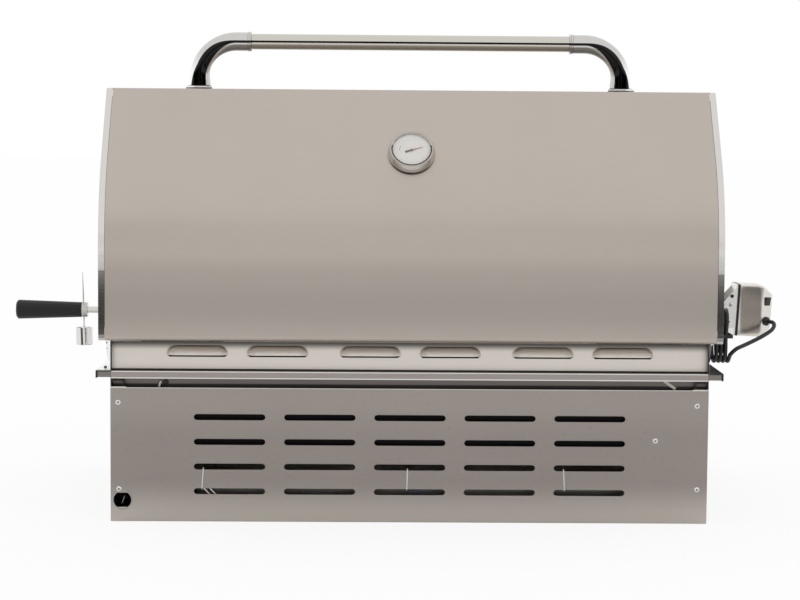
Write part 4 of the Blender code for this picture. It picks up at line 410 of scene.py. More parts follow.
def elbow_finish():
    """Polished bent leg with painted reflections, a bright outer side, a darker lower side and a dark streak
    that narrows towards its collar, and painted shade on its flange's edges and its collar's ridges.
    """
    pale = (0.60, 0.59, 0.57)
    wide_out, fall_out, narrow_out, wide_in, soft = 0.0107, 0.0125, 0.0062, 0.0115, 0.0004
    finish = Finish("bent_leg_steel", pale, 0.08, 1.0)
    across, depth, height = finish.axes()
    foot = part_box("handle_right_elbow")[0][2]
    out = (abs(across) - (LEG_X - LEG_BEND)).at_least(0)
    rise = height - (BAR_Z - LEG_BEND)
    up = rise.at_least(0)
    reach = (out * out + up * up) ** 0.5
    off = reach - LEG_BEND
    sine = rise / reach.at_least(0.02)
    bent = sine.at_least(0)
    outer = (wide_out - sine * fall_out).at_least(narrow_out) * (1 - bent ** 10 * 0.75)
    inner = wide_in * (1 - bent ** 5 * 0.78)
    rear = depth.between(BAR_Y + 0.002, BAR_Y + 0.004)
    # painted reflections of the room on the leg
    bright = (1 - sine.between(0.10, 0.70)) * off.between(0.004, 0.008)
    lower = (1 - (off + inner).between(-0.0042, -0.0028)) * rear * sine.between(0.15, 0.45)
    streak = (off + inner).between(-soft, soft) * (1 - (off - outer).between(-soft, soft))
    streak = streak * rear * height.between(foot + 0.0064, foot + 0.0070)
    flange = band(height, foot + 0.0052, foot + 0.0066) + band(height, foot - 0.0002, foot + 0.0030)
    along = abs(across) - BAR_HIGH[0]
    # painted shade along the edges of the collar's ridges
    ridge_shades = (band(along, 0.0024, 0.0034) + band(along, 0.0060, 0.0068)) * up.between(0.03, 0.04)
    finish.paint(pale, [
        (bright, (0.93, 0.93, 0.92)), (lower * 0.85, (0.25, 0.26, 0.27)), (streak, (0.022, 0.021, 0.022)),
        (flange.between(0.1, 0.9) * 0.8, (0.06, 0.06, 0.055)), (ridge_shades * 0.35, (0.20, 0.19, 0.17)),
    ])
    return finish.material


def needle_finish():
    """Painted needle: a dark tail and a red tip."""
    finish = Finish("needle_red", (0.40, 0.16, 0.18), 0.4)
    tail = finish.axes()[0].between(GAUGE_PLACE.x - 0.006, GAUGE_PLACE.x + 0.004)
    finish.paint((0.42, 0.18, 0.20), [(tail, (0.07, 0.045, 0.055))])
    return finish.material


def spit_handle_finish():
    """Ribbed black plastic with a polished collar at its inner end."""
    black = (0.010, 0.009, 0.010)
    finish = Finish("spit_handle_plastic", black, 0.45, Specular_IOR_Level=0.35)
    collar = 1 - finish.axes()[0].between(SPIT_COLLAR_END - 0.0002, SPIT_COLLAR_END)
    finish.paint(black, [(collar, (0.50, 0.49, 0.47))])
    finish.set("Metallic", collar)
    finish.set("Roughness", 0.45 - collar * 0.38)
    return finish.material


CERAMIC = ceramic_finish()
BAR_STEEL = bar_finish()
LEG_STEEL = elbow_finish()
NEEDLE_RED = needle_finish()
HANDLE_PLASTIC = spit_handle_finish()

FINISHES = dict(
    rear_panel=PANEL_STEEL, left_side_panel=SIDE_STEEL, right_side_panel=SIDE_STEEL,
    bottom_pan=INNER_STEEL, control_panel=FRONT_STEEL, drip_tray=FRONT_STEEL,
    firebox_rear_wall=WALL_STEEL, firebox_left_wall=LEFT_RIM_STEEL, firebox_right_wall=RIGHT_RIM_STEEL,
    firebox_front_wall=INNER_STEEL, hood_skin=HOOD_STEEL, hood_liner=INNER_STEEL,
    hood_left_end=BAND_STEEL, hood_right_end=BAND_STEEL,
    handle_bar=BAR_STEEL, handle_left_elbow=LEG_STEEL, handle_right_elbow=LEG_STEEL,
    left_hinge_bolt=CHROME, right_hinge_bolt=CHROME,
    thermometer_case=RING_STEEL, thermometer_dial=DIAL_FACE, thermometer_needle=NEEDLE_RED,
    thermometer_glass=GLASS, spit_rod=ROD_STEEL, spit_handle=HANDLE_PLASTIC,
    counterbalance_rod=CHROME, counterweight=CHROME, left_fork=CHROME, right_fork=CHROME,
    motor_bracket=BRACKET_STEEL, motor_base=BLACK_RUBBER, motor_case=MOTOR_STEEL,
    motor_switch=BLACK_PLASTIC, cord_gland=BLACK_RUBBER, cord_tie=BLACK_PLASTIC,
    power_plug=BLACK_RUBBER, rear_burner=CERAMIC, gas_manifold=BRASS, rear_burner_knob=BLACK_PLASTIC,
)
for number in range(1, 6):
    FINISHES[f"burner_{number}"] = INNER_STEEL
    FINISHES[f"heat_tent_{number}"] = ENAMEL
    FINISHES[f"burner_{number}_knob"] = BLACK_PLASTIC
for number in range(1, 5):
    FINISHES[f"cooking_grate_{number}"] = GRATE_STEEL

for node_name, material in FINISHES.items():
    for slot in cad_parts[node_name].material_slots:
        slot.material = material


# The photograph's camera

def make_camera():
    """Camera behind the grill, a little above the handle's height and turned slightly."""
    place = (0.0767, 3.7355, 0.646)
    yaw, pitch, roll = 0.01705, 0.08298, 0.00788
    right = Vector((-cos(yaw), sin(yaw), 0))
    forward = Vector((-sin(yaw) * cos(pitch), -cos(yaw) * cos(pitch), -sin(pitch)))
    down = forward.cross(right)
    across = right * cos(roll) - down * sin(roll)
    lower = right * sin(roll) + down * cos(roll)
    data = bpy.data.cameras.new("camera")
    data.sensor_width = 36
    data.lens = 99
    camera = bpy.data.objects.new("camera", data)
    turn = Matrix((across, -lower, -forward)).transposed().to_4x4()
    camera.matrix_world = Matrix.Translation(place) @ turn
    bpy.context.scene.collection.objects.link(camera)
    bpy.context.scene.camera = camera


make_camera()


# Making pieces

OUTWARD = Vector((0, 1, 0))
UPWARD = Vector((0, 0, 1))


def link_mesh(name, bm, material):
    """An object with a bmesh's shape and one material."""
    mesh = bpy.data.meshes.new(name)
    bm.to_mesh(mesh)
    bm.free()
    mesh.materials.append(material)
    made = bpy.data.objects.new(name, mesh)
    bpy.context.scene.collection.objects.link(made)
    return made


def finish_piece(name, bm, material, body, smooth=None):
    """Makes a bmesh a piece that moves with a body."""
    bmesh.ops.recalc_face_normals(bm, faces=bm.faces)
    piece = link_mesh(name, bm, material)
    if smooth is not None:
        piece.data.shade_smooth()
        piece.data.set_sharp_from_angle(angle=radians(smooth))
    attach(piece, body)
    return piece


def link_wire(name, points, radius, material, resolution):
    """An object that is a round wire or lead through points."""
    data = bpy.data.curves.new(name, 'CURVE')
    data.dimensions = '3D'
    data.bevel_depth = radius
    data.bevel_resolution = resolution
    data.use_fill_caps = True
    data.materials.append(material)
    spline = data.splines.new('POLY')
    spline.points.add(len(points) - 1)
    for target, point in zip(spline.points, points):
        target.co = (*point, 1)
    spline.use_smooth = True
    wire = bpy.data.objects.new(name, data)
    bpy.context.scene.collection.objects.link(wire)
    return wire


def make_wire(name, points, radius, material):
    """A thin round wire on the casing."""
    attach(link_wire(name, points, radius, material, 3), "casing")


def add_box(bm, low, high, turn=None):
    """A block between two corners."""
    verts = bmesh.ops.create_cube(bm, size=1)["verts"]
    bmesh.ops.scale(bm, vec=[b - a for a, b in zip(low, high)], verts=verts)
    bmesh.ops.translate(bm, vec=[(a + b) / 2 for a, b in zip(low, high)], verts=verts)
    if turn is not None:
        bmesh.ops.transform(bm, matrix=turn, verts=verts)


def add_turned(bm, profile, turn, steps):
    """A turned shape from (radius, height) pairs, placed by a matrix whose Z is its axis."""
    verts = [bm.verts.new((radius, 0, height)) for radius, height in profile]
    edges = [bm.edges.new(pair) for pair in zip(verts, verts[1:])]
    bmesh.ops.spin(bm, geom=verts + edges, axis=(0, 0, 1), cent=(0, 0, 0), angle=2 * pi, steps=steps,
                   use_merge=True)
    shape, front = set(verts), set(verts)
    while front:
        front = {edge.other_vert(vert) for vert in front for edge in vert.link_edges} - shape
        shape |= front
    shape = list(shape)
    bmesh.ops.remove_doubles(bm, verts=shape, dist=1e-6)
    bmesh.ops.transform(bm, matrix=turn, verts=[vert for vert in shape if vert.is_valid])


def turned_piece(name, profile, turn, material, body, smooth, steps):
    """A piece that is one turned shape."""
    bm = bmesh.new()
    add_turned(bm, profile, turn, steps)
    return finish_piece(name, bm, material, body, smooth)


def boxed_piece(name, boxes, material, body):
    """A piece of blocks, each given by two corners and, where it is turned, its matrix."""
    bm = bmesh.new()
    for box in boxes:
        add_box(bm, *box)
    return finish_piece(name, bm, material, body)


def push_faces(bm, faces, step):
    """Extrudes faces by a step and gives the corners of their new ends."""
    grown = bmesh.ops.extrude_face_region(bm, geom=faces)["geom"]
    verts = [item for item in grown if isinstance(item, bmesh.types.BMVert)]
    bmesh.ops.translate(bm, vec=step, verts=verts)
    return verts


def push_edges(bm, edges, step):
    """Extrudes a line or ring of edges by a step and gives the new edges."""
    grown = bmesh.ops.extrude_edge_only(bm, edges=edges)["geom"]
    bmesh.ops.translate(bm, vec=step, verts=[item for item in grown if isinstance(item, bmesh.types.BMVert)])
    return [item for item in grown if isinstance(item, bmesh.types.BMEdge)]


def solid_sheet(bm, thickness, outward):
    """Turns a sheet's faces outwards and gives it a thickness."""
    bmesh.ops.recalc_face_normals(bm, faces=bm.faces)
    if sum(face.normal.dot(outward) for face in bm.faces) < 0:
        bmesh.ops.reverse_faces(bm, faces=bm.faces)
    bmesh.ops.solidify(bm, geom=bm.faces[:], thickness=thickness)


def facing(place, direction):
    """Matrix at a place with Z along a direction."""
    z = Vector(direction).normalized()
    x = UPWARD.cross(z)
    if x.length < 1e-4:
        x = Vector((1, 0, 0)).cross(z)
    x.normalize()
    return Matrix.Translation(place) @ Matrix((x, z.cross(x), z)).transposed().to_4x4()


def smooth_step(share):
    share = min(max(share, 0.0), 1.0)
    return share * share * (3 - 2 * share)


# Mains lead

CORD_DIAMETER = 0.0068
CORD_SPACING = 0.004
CORD_ROUTE = (
    (-0.6190, 0.0405, 0.3030), (-0.6184, 0.0470, 0.2990), (-0.6130, 0.0540, 0.2930),
    (-0.6005, 0.0610, 0.2856), (-0.5853, 0.0675, 0.2783), (-0.5650, 0.0765, 0.2700),
    (-0.5490, 0.0845, 0.2638),
)
CORD_EXIT = Vector((-0.612962, 0.029473, 0.304756))
CORD_EXIT_DIRECTION = Vector((-0.574158, 0.818192, -0.03009))
HANK_FIRST_X = -0.5390
HANK_MIDDLE_Y = 0.0561
HANK_BOTTOM = 0.2370
HANK_HEIGHT = 0.0930
HANK_FOLD = 0.0204
HANK_WAIST = 0.0158
HANK_STEP = 0.0075
HANK_TURNS = 3.72
HANK_TURN_POINTS = 60
HANK_START = 48 / 180
TAIL_FROM = 3.42
TAIL_TURNS = 0.24
TAIL_STEP = 0.0115


def waist_half(share):
    """Half the hank's width at a share of its straight run, drawn in at the middle by the tie."""
    drawn = (1 - cos(2 * pi * share)) / 2
    return HANK_FOLD - (HANK_FOLD - HANK_WAIST) * drawn


def hank_point(turn):
    """Point of the hank's winding after a number of turns. Its turns lie side by side along X."""
    run = HANK_HEIGHT - CORD_DIAMETER - 2 * HANK_FOLD
    fold = pi * HANK_FOLD
    loop = 2 * (run + fold)
    low = HANK_BOTTOM + CORD_DIAMETER / 2 + HANK_FOLD
    along = ((turn % 1.0) * loop + fold * HANK_START) % loop
    if along < fold:
        angle = pi + along / HANK_FOLD
        across, z = HANK_FOLD * cos(angle), low + HANK_FOLD * sin(angle)
    elif along < fold + run:
        across, z = waist_half((along - fold) / run), low + along - fold
    elif along < 2 * fold + run:
        angle = (along - fold - run) / HANK_FOLD
        across, z = HANK_FOLD * cos(angle), low + run + HANK_FOLD * sin(angle)
    else:
        across, z = -waist_half((loop - along) / run), low + loop - along
    tail = smooth_step((turn - TAIL_FROM) / TAIL_TURNS)
    return Vector((HANK_FIRST_X + HANK_STEP * turn + TAIL_STEP * tail, HANK_MIDDLE_Y - across, z))


def smooth_route(route, spacing, parts=16):
    """Points about a spacing apart on a smooth curve through the route's points."""
    ends = [2 * route[0] - route[1], *route, 2 * route[-1] - route[-2]]
    fine = []
    for a, b, c, d in zip(ends, ends[1:], ends[2:], ends[3:]):
        for i in range(parts):
            t = i / parts
            fine.append(0.5 * (2 * b + (c - a) * t + (2 * a - 5 * b + 4 * c - d) * t * t
                               + (3 * b - a - 3 * c + d) * t * t * t))
    fine.append(route[-1])
    points = [fine[0]]
    for point in fine[1:]:
        if (point - points[-1]).length >= spacing:
            points.append(point)
    if (points[-1] - fine[-1]).length < spacing / 2:
        points.pop()
    return points + [fine[-1]]


def make_cord():
    """One lead from the gland through all the hank's turns to the plug."""
    count = round(HANK_TURNS * HANK_TURN_POINTS)
    wound = [hank_point(HANK_TURNS * i / count) for i in range(count + 1)]
    start = (wound[0] - wound[1]).normalized()
    wound.append(wound[-1] + (wound[-1] - wound[-2]).normalized() * CORD_DIAMETER)
    meeting = wound[0] + start * CORD_DIAMETER
    route = [CORD_EXIT, CORD_EXIT + CORD_EXIT_DIRECTION * CORD_DIAMETER, *[Vector(p) for p in CORD_ROUTE],
             meeting + start * CORD_DIAMETER, meeting]
    points = smooth_route(route, CORD_SPACING) + wound
    lead = link_wire("mains_lead", points, CORD_DIAMETER / 2, CORD_BLACK, 6)
    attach(lead, "casing")
    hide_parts("power_cord", "cord_hank")
    length = sum((b - a).length for a, b in zip(points, points[1:]))


make_cord()


# Screws, hose hole, ties and bolts of the casing

def make_screws(name, places, direction, radius=0.0045, height=0.0016, material=ZINC):
    """Domed cross-head screws of the casing, with their cross slots as dark blocks of painted shade."""
    heads, crosses = bmesh.new(), bmesh.new()
    profile = [(0, height), (radius * 0.5, height * 0.95), (radius * 0.85, height * 0.6), (radius, 0), (0, 0)]
    slot_low = (-radius * 0.5, -radius * 0.11, height * 0.6)
    slot_high = (radius * 0.5, radius * 0.11, height * 1.02)
    for place in places:
        seat = facing(place, direction)
        add_turned(heads, profile, seat, 20)
        for turn in (0.4, 0.4 + pi / 2):
            add_box(crosses, slot_low, slot_high, seat @ Matrix.Rotation(turn, 4, 'Z'))
    finish_piece(name, heads, material, "casing", 40)
    finish_piece(f"{name}_crosses", crosses, SHADOW_SEAM, "casing")


def make_hose_hole_rim():
    """Turned lip round the gas hose's hole and the end of the igniter's lead in it."""
    lip = [(0.0142, 0), (0.0142, 0.0012), (0.0150, 0.0014), (0.0158, 0.0010), (0.0160, 0), (0.0142, 0)]
    seat = facing((0.45745, PANEL_BACK, 0.0345), OUTWARD)
    turned_piece("hose_hole_rim", lip, seat, DULL_ZINC, "casing", 40, 40)
    make_wire("igniter_lead", [(0.4590, 0.2540, 0.0285), (0.4570, 0.2570, 0.0325), (0.4545, 0.2550, 0.0400)],
              0.0006, DULL_ZINC)


def make_panel_ties():
    """White cable ties round the panel's bars between the two lower rows of slots, and a blue lead."""
    inside, front = 0.2560, PANEL_BACK + 0.0008
    upper, lower, bend = 0.0860, 0.0515, 0.0030
    for index, (x_top, x_low) in enumerate(((0.3289, 0.3309), (0.0035, 0.0042), (-0.2462, -0.2476)), 1):
        points = [(x_top, inside, upper), (x_top, front, upper - bend),
                  (x_low, front, lower + bend), (x_low, inside, lower)]
        make_wire(f"panel_tie_{index}", points, 0.0008, TIE_WHITE)
    for index, shift in enumerate((0.0, -0.0095), 1):
        points = [(0.3285 + shift, inside, 0.0545), (0.3270 + shift, front, 0.0530),
                  (0.3200 + shift, front, 0.0460), (0.3185 + shift, inside, 0.0440)]
        make_wire(f"panel_tie_end_{index}", points, 0.0007, TIE_WHITE)
    make_wire("blue_lead", [(0.0038, inside, 0.0515), (-0.0120, 0.2570, 0.0497), (-0.0281, inside, 0.0488)],
              0.0006, LEAD_BLUE)


def make_gap_fittings():
    """Bolt, nut and light tie in the gap under the strip, and the small bolt over the rim."""
    thread = [(0.0031 - 0.0009 * (step % 2), 0.0003 + 0.0010 * step) for step in range(11)]
    bolt = [(0, 0), *thread, (0.0024, 0.0108), (0, 0.0110)]
    bolt_seat = facing((0.3999, REAR_WALL_BACK + 0.0040, 0.2150), (-0.28, 0, 0.96))
    turned_piece("gap_bolt", bolt, bolt_seat, ZINC, "casing", 30, 16)
    nut = [(0, 0.0), (0.0046, 0.0), (0.0046, 0.0012), (0.0030, 0.0016), (0.0028, 0.0030), (0, 0.0030)]
    nut_seat = facing((0.3893, REAR_WALL_BACK + 0.0006, 0.2222), OUTWARD)
    turned_piece("gap_nut", nut, nut_seat, DARK_ZINC, "casing", 30, 24)
    lean = Matrix.Translation((-0.4156, REAR_WALL_BACK + 0.0016, 0.22195)) @ Matrix.Rotation(-0.604, 4, 'Y')
    tie = ((-0.0110, -0.0012, -0.0022), (0.0110, 0.0012, 0.0022), lean)
    boxed_piece("gap_tie", [tie], TIE_CREAM, "casing")
    make_screws("rim_bolt", [(0.4885, 0.2200, RIM_TOP + 0.0004)], UPWARD, 0.0027, 0.0028, DARK_ZINC)


make_screws("rear_panel_screw_heads", [
    (0.464, PANEL_BACK, 0.191), (0.463, PANEL_BACK, 0.052), (-0.458, PANEL_BACK, 0.190),
    (-0.460, PANEL_BACK, 0.055), (-0.392, PANEL_BACK, 0.1335),
], OUTWARD)
make_hose_hole_rim()
make_panel_ties()
make_gap_fittings()


# Motor with its bracket

def make_motor_case():
    """The motor's case with rounded edges and a narrower outer end."""
    start, body, taper = -0.0043, 0.0387, 0.0185
    depth, height, end_depth, end_height = 0.060, 0.087, 0.034, 0.057
    bm = bmesh.new()
    bmesh.ops.create_cube(bm, size=1)
    bmesh.ops.scale(bm, vec=(body, depth, height), verts=bm.verts)
    bmesh.ops.translate(bm, vec=(start - body / 2, 0, MOTOR_RISE), verts=bm.verts)
    outer = min(bm.faces, key=lambda face: face.calc_center_median().x)
    tip = push_faces(bm, [outer], (-taper, 0, 0))
    bm.faces.remove(outer)
    bmesh.ops.scale(bm, vec=(1, end_depth / depth, end_height / height), verts=tip,
                    space=Matrix.Translation((0, 0, -MOTOR_RISE)))
    far = [edge for edge in bm.edges if min(vert.co.x for vert in edge.verts) < start - 0.001]
    bmesh.ops.bevel(bm, geom=far, offset=0.0032, offset_type='OFFSET', segments=4, profile=0.5,
                    affect='EDGES', material=-1)
    turn = Matrix.Translation(MOTOR_PLACE) @ Matrix.Rotation(-MOTOR_DROOP, 4, 'Y')
    bmesh.ops.transform(bm, matrix=turn, verts=bm.verts)
    case = finish_piece("motor_case_shell", bm, MOTOR_STEEL, "casing", 35)
    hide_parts("motor_case")


def make_bracket_fittings():
    """Screws that hold the motor's bracket, and beside them dark discs of painted shade standing for holes.
    """
    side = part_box("motor_bracket")[1][1]
    places = [(-0.5450, side, 0.3050), (-0.5480, side, 0.3330)]
    make_screws("bracket_screw_heads", places, OUTWARD, 0.0035, 0.0014)
    bm = bmesh.new()
    for x, z in ((-0.5400, 0.3200), (-0.5490, 0.3480)):
        disc = [(0, 0.0003), (0.0030, 0.0003), (0.0030, 0.0001), (0, 0.0001)]
        add_turned(bm, disc, facing((x, side, z), OUTWARD), 24)
    finish_piece("bracket_hole_shades", bm, SHADOW_SEAM, "casing")


make_motor_case()
make_bracket_fittings()


# Knobs

DOT_RING = 0.0385
DOT_COUNT = 9
DOT_TURN = 22.5


def make_knob_bezels():
    """Polished ring behind each knob, and the plain dots printed on the panel round it."""
    bezel = [(0.0272, 0.0001), (0.0272, 0.0012), (0.0282, 0.0022), (0.0300, 0.0026), (0.0318, 0.0022),
             (0.0328, 0.0010), (0.0330, 0.0001), (0.0272, 0.0001)]
    rings, dots = bmesh.new(), bmesh.new()
    for place in KNOB_PLACES:
        seat = facing((place, PANEL_FACE, KNOB_HEIGHT), (0, -1, 0))
        add_turned(rings, bezel, seat, 64)
        for index in range(DOT_COUNT):
            angle = radians(90 - DOT_TURN * index)
            dot = seat @ Matrix.Translation((DOT_RING * sin(angle), DOT_RING * cos(angle), 0))
            size = 0.0007 + 0.0001 * index
            add_turned(dots, [(0, 0.0001), (size, 0.0001), (size, 0.0002), (0, 0.0002)], dot, 16)
    finish_piece("knob_bezels", rings, CHROME, "casing", 40)
    finish_piece("panel_dots", dots, DIAL_INK, "casing")


def make_pointer_marks():
    """White mark on the front of each knob."""
    names = [*((f"burner_{number}_knob", f"knob_{number}") for number in range(1, 6)),
             ("rear_burner_knob", "knob_rear")]
    for index, (place, (node, body)) in enumerate(zip(KNOB_PLACES, names), 1):
        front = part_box(node)[0][1]
        mark = ((place - 0.0008, front - 0.00004, KNOB_HEIGHT + 0.006),
                (place + 0.0008, front + 0.0001, KNOB_HEIGHT + 0.0165))
        boxed_piece(f"pointer_mark_{index}", [mark], TIE_WHITE, body)


make_knob_bezels()
make_pointer_marks()


# Hood

HOOD_BACK_Y = 0.320
HOOD_FLAT_TOP = 0.430
HOOD_BEND = 0.265
HOOD_CORNER = 0.008
HOOD_SHEET = 0.0015
HOOD_LOBE = 0.053
LOBE_START = 195
LOBE_END_Z = 0.295
END_SHEET = 0.002
BAND_WIDTH = 0.003
BAND_DEPTH = 0.0078
HOOD_TRAVEL = radians(75)
SPIT_SLOT = (-0.0120, 0.0220)
BRACKET_SLOT = (-0.036, 0.05)
SLOT_TOP = SPIT_Z + 0.0160


def arc_points(centre, radius, first, last, steps):
    """Points of an arc in Y and Z, its angles in degrees."""
    angles = [radians(first + (last - first) * i / steps) for i in range(steps + 1)]
    return [(centre[0] + radius * cos(angle), centre[1] + radius * sin(angle)) for angle in angles]


def round_corner(before, corner, after, radius, steps=8):
    """The corner's two legs joined by an arc."""
    a, b, c = Vector(before), Vector(corner), Vector(after)
    one, two = (a - b).normalized(), (c - b).normalized()
    half = one.angle(two) / 2
    centre = b + (one + two).normalized() * (radius / sin(half))
    first = b + one * (radius / tan(half)) - centre
    turn = first.angle_signed(b + two * (radius / tan(half)) - centre)
    return [tuple(centre + Matrix.Rotation(-turn * i / steps, 2) @ first) for i in range(steps + 1)]


def toward(point, other, step=0.002):
    """A point a little way along the straight run to another point, which keeps the run's shading flat."""
    return tuple(Vector(point) + (Vector(other) - Vector(point)).normalized() * step)


def hood_line(depth):
    """The open hood's section in Y and Z, moved inwards by a depth: lip, back, bend, slope and front face."""
    low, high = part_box("hood_skin")
    centre = (HOOD_BACK_Y - HOOD_BEND, HOOD_FLAT_TOP)
    bend = arc_points(centre, HOOD_BEND - depth, 0, degrees(HOOD_SLOPE), 60)
    top = high[2] - depth
    run = (top - bend[-1][1]) / cos(HOOD_SLOPE)
    peak = (bend[-1][0] - run * sin(HOOD_SLOPE), top)
    lip = (HOOD_HINGE.y + sqrt(HOOD_LOBE ** 2 - (HOOD_HINGE.z - low[2]) ** 2), low[2] + depth)
    corner = (HOOD_BACK_Y - depth, low[2] + depth)
    edge = (low[1], top)
    low_corner = round_corner(lip, corner, bend[0], HOOD_CORNER - depth)
    high_corner = round_corner(bend[-1], peak, edge, HOOD_CORNER - depth)
    return [lip, toward(low_corner[0], lip), *low_corner, toward(low_corner[-1], bend[0]),
            toward(bend[0], low_corner[-1]), *bend, toward(bend[-1], high_corner[0]),
            toward(high_corner[0], bend[-1]), *high_corner, toward(high_corner[-1], edge), edge]


def make_hood_skin():
    """The outer skin as one smooth sheet."""
    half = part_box("hood_skin")[1][0]
    bm = bmesh.new()
    verts = [bm.verts.new((-half, y, z)) for y, z in hood_line(0)]
    edges = [bm.edges.new(pair) for pair in zip(verts, verts[1:])]
    push_edges(bm, edges, (2 * half, 0, 0))
    solid_sheet(bm, HOOD_SHEET, UPWARD)
    skin = finish_piece("hood_outer_skin", bm, HOOD_STEEL, "hood", 30)
    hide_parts("hood_skin")


def end_slot(front, rear, reach):
    """The slot in an end's lower edge for the spit or the bracket, drawn in the shut hood and turned open."""
    hinge = Vector((HOOD_HINGE.y, HOOD_HINGE.z))
    shut = Matrix.Rotation(HOOD_TRAVEL, 2)
    a, b = (shut @ (Vector(point) - hinge) + hinge for point in (front, rear))
    points = []
    for y, rises in ((reach[0], False), (reach[0], True), (reach[1], True), (reach[1], False)):
        z = SLOT_TOP if rises else a.y + (b.y - a.y) * (y - a.x) / (b.x - a.x)
        points.append(tuple(shut.inverted() @ (Vector((y, z)) - hinge) + hinge))
    return points


def make_hood_end(side, side_name):
    """A thin end plate with the polished band over the skin's edge."""
    low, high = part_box(f"hood_{side_name}_end")
    outer = high[0] if side > 0 else low[0]
    last = 360 - degrees(asin((HOOD_HINGE.z - LOBE_END_Z) / HOOD_LOBE))
    lobe = arc_points((HOOD_HINGE.y, HOOD_HINGE.z), HOOD_LOBE, LOBE_START, last, 32)
    rim, inner = hood_line(0)[1:], hood_line(BAND_WIDTH)[1:]
    slot = end_slot(rim[-1], lobe[0], SPIT_SLOT if side > 0 else BRACKET_SLOT)
    bm = bmesh.new()
    plate = bm.faces.new([bm.verts.new((outer, y, z)) for y, z in [*rim, *slot, *lobe]])
    push_faces(bm, [plate], (-side * END_SHEET, 0, 0))
    strip_x = outer - side * END_SHEET
    strip = bm.faces.new([bm.verts.new((strip_x, y, z)) for y, z in [*rim, *reversed(inner)]])
    push_faces(bm, [strip], (-side * BAND_DEPTH, 0, 0))
    bmesh.ops.triangulate(bm, faces=[face for face in bm.faces if len(face.verts) > 4])
    end = finish_piece(f"hood_{side_name}_polished_end", bm, BAND_STEEL, "hood", 30)
    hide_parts(f"hood_{side_name}_end")


make_hood_skin()
make_hood_end(1, "right")
make_hood_end(-1, "left")


# Rear wall with its louvres

WALL_HALF = 0.4747
WALL_SHEET = 0.0008
WALL_COLUMNS = 600
LOUVRE_ROUNDING = 0.016
LEDGE_SHEET = 0.0015
REAR_LEDGES = ((0.0580, 0.2215), (0.0380, 0.1760), (0.0380, 0.1260))


def louvre_depth(x, z):
    """How far the wall stands out at a place."""
    near = min(LOUVRE_PLACES, key=lambda place: abs(place - x))
    if z < LOUVRE_LOW:
        return 0.0
    side = max(abs(x - near) - (LOUVRE_HALF - LOUVRE_ROUNDING), 0.0) / LOUVRE_ROUNDING
    rise = max((z - LOUVRE_LOW) / (LOUVRE_HIGH - LOUVRE_LOW) - 0.15, 0.0) / 0.85
    fall = side * side + rise * rise
    return LOUVRE_OUT * (1 - fall) ** 0.8 if fall < 1 else 0.0


def add_louvred_sheet(bm, top):
    """The thin pressed sheet of the wall, with close rows at the louvres' lower lips."""
    low_step, lip_step, high_step = 0.0012, 0.0001, 0.0011
    rows = [RIM_TOP - 0.001 + low_step * i for i in range(20)] + [LOUVRE_LOW - lip_step]
    while rows[-1] < top:
        rows.append(min(rows[-1] + (lip_step if rows[-1] < LOUVRE_LOW else high_step), top))
    bmesh.ops.create_grid(bm, x_segments=WALL_COLUMNS, y_segments=len(rows) - 1, size=1)
    for vert in bm.verts:
        x, z = vert.co.x * WALL_HALF, rows[round((vert.co.y + 1) / 2 * (len(rows) - 1))]
        vert.co = (x, REAR_WALL_BACK + louvre_depth(x, z), z)
    solid_sheet(bm, WALL_SHEET, OUTWARD)


def make_rear_wall():
    """Sheet with six pressed louvres, the body below it, the strip at the casing's edge and the ledges."""
    low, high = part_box("firebox_rear_wall")
    core_half, core_front, core_top = high[0] - 0.0200, 0.2430, RIM_TOP - 0.0125
    core_back = REAR_WALL_BACK - 0.0001
    strip_front, strip_inside, hem_front, sheet = 0.2590, 0.2592, 0.2520, 0.001
    bm = bmesh.new()
    add_louvred_sheet(bm, high[2])
    for half, near, far in (
        (core_half, (core_front, low[2]), (core_back, core_top)),
        *((core_half, (core_front - reach, top - LEDGE_SHEET), (core_front, top))
          for reach, top in REAR_LEDGES),
        (WALL_HALF, (REAR_WALL_BACK - 0.0020, core_top), (core_back, RIM_TOP)),
        (WALL_HALF, (strip_front, STRIP_BOTTOM), (PANEL_BACK, RIM_TOP)),
        (WALL_HALF, (REAR_WALL_BACK - sheet, RIM_TOP - sheet), (strip_inside, RIM_TOP)),
        (WALL_HALF, (hem_front, STRIP_BOTTOM), (strip_inside, STRIP_BOTTOM + sheet)),
    ):
        add_box(bm, (-half, *near), (half, *far))
    wall = finish_piece("louvred_rear_wall", bm, WALL_STEEL, "casing", 40)
    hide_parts("firebox_rear_wall")


def make_wall_backings():
    """Dark slits of painted shade under the louvres, and the sheet seen in the gap under the strip, painted
    with the gap's shade.
    """
    half_slit = LOUVRE_HALF - 0.0035
    slits = [((place - half_slit, REAR_WALL_BACK + 0.0001, LOUVRE_LOW - 0.0021),
              (place + half_slit, REAR_WALL_BACK + 0.0004, LOUVRE_LOW + 0.0005)) for place in LOUVRE_PLACES]
    boxed_piece("louvre_opening_shades", slits, SHADOW_SEAM, "casing")
    backing = ((-WALL_HALF, REAR_WALL_BACK + 0.0003, 0.2128), (WALL_HALF, REAR_WALL_BACK + 0.0007, 0.2288))
    boxed_piece("gap_shade_backing", [backing], GAP_SHADE_STEEL, "casing")


make_rear_wall()
make_wall_backings()


# Thermometer

DIAL_RADIUS = 0.0300
# Painted shade round the dial, in the gap along its lower side
GAP_SHADE_OUTER = 0.0318
GAP_SHADE_LOW = 0.0134
GAP_SHADE_SWEEP = (-12, 192)
SCALE_START = -288
SCALE_SWEEP = 250
SCALE_STEPS = 40
PRINT_TOP = DIAL_TOP + 0.00006
# Z points out of the hood and Y down the open hood's slope
GAUGE_SEAT = Matrix.Translation(GAUGE_PLACE) @ Matrix.Rotation(HOOD_SLOPE - pi / 2, 4, 'X')


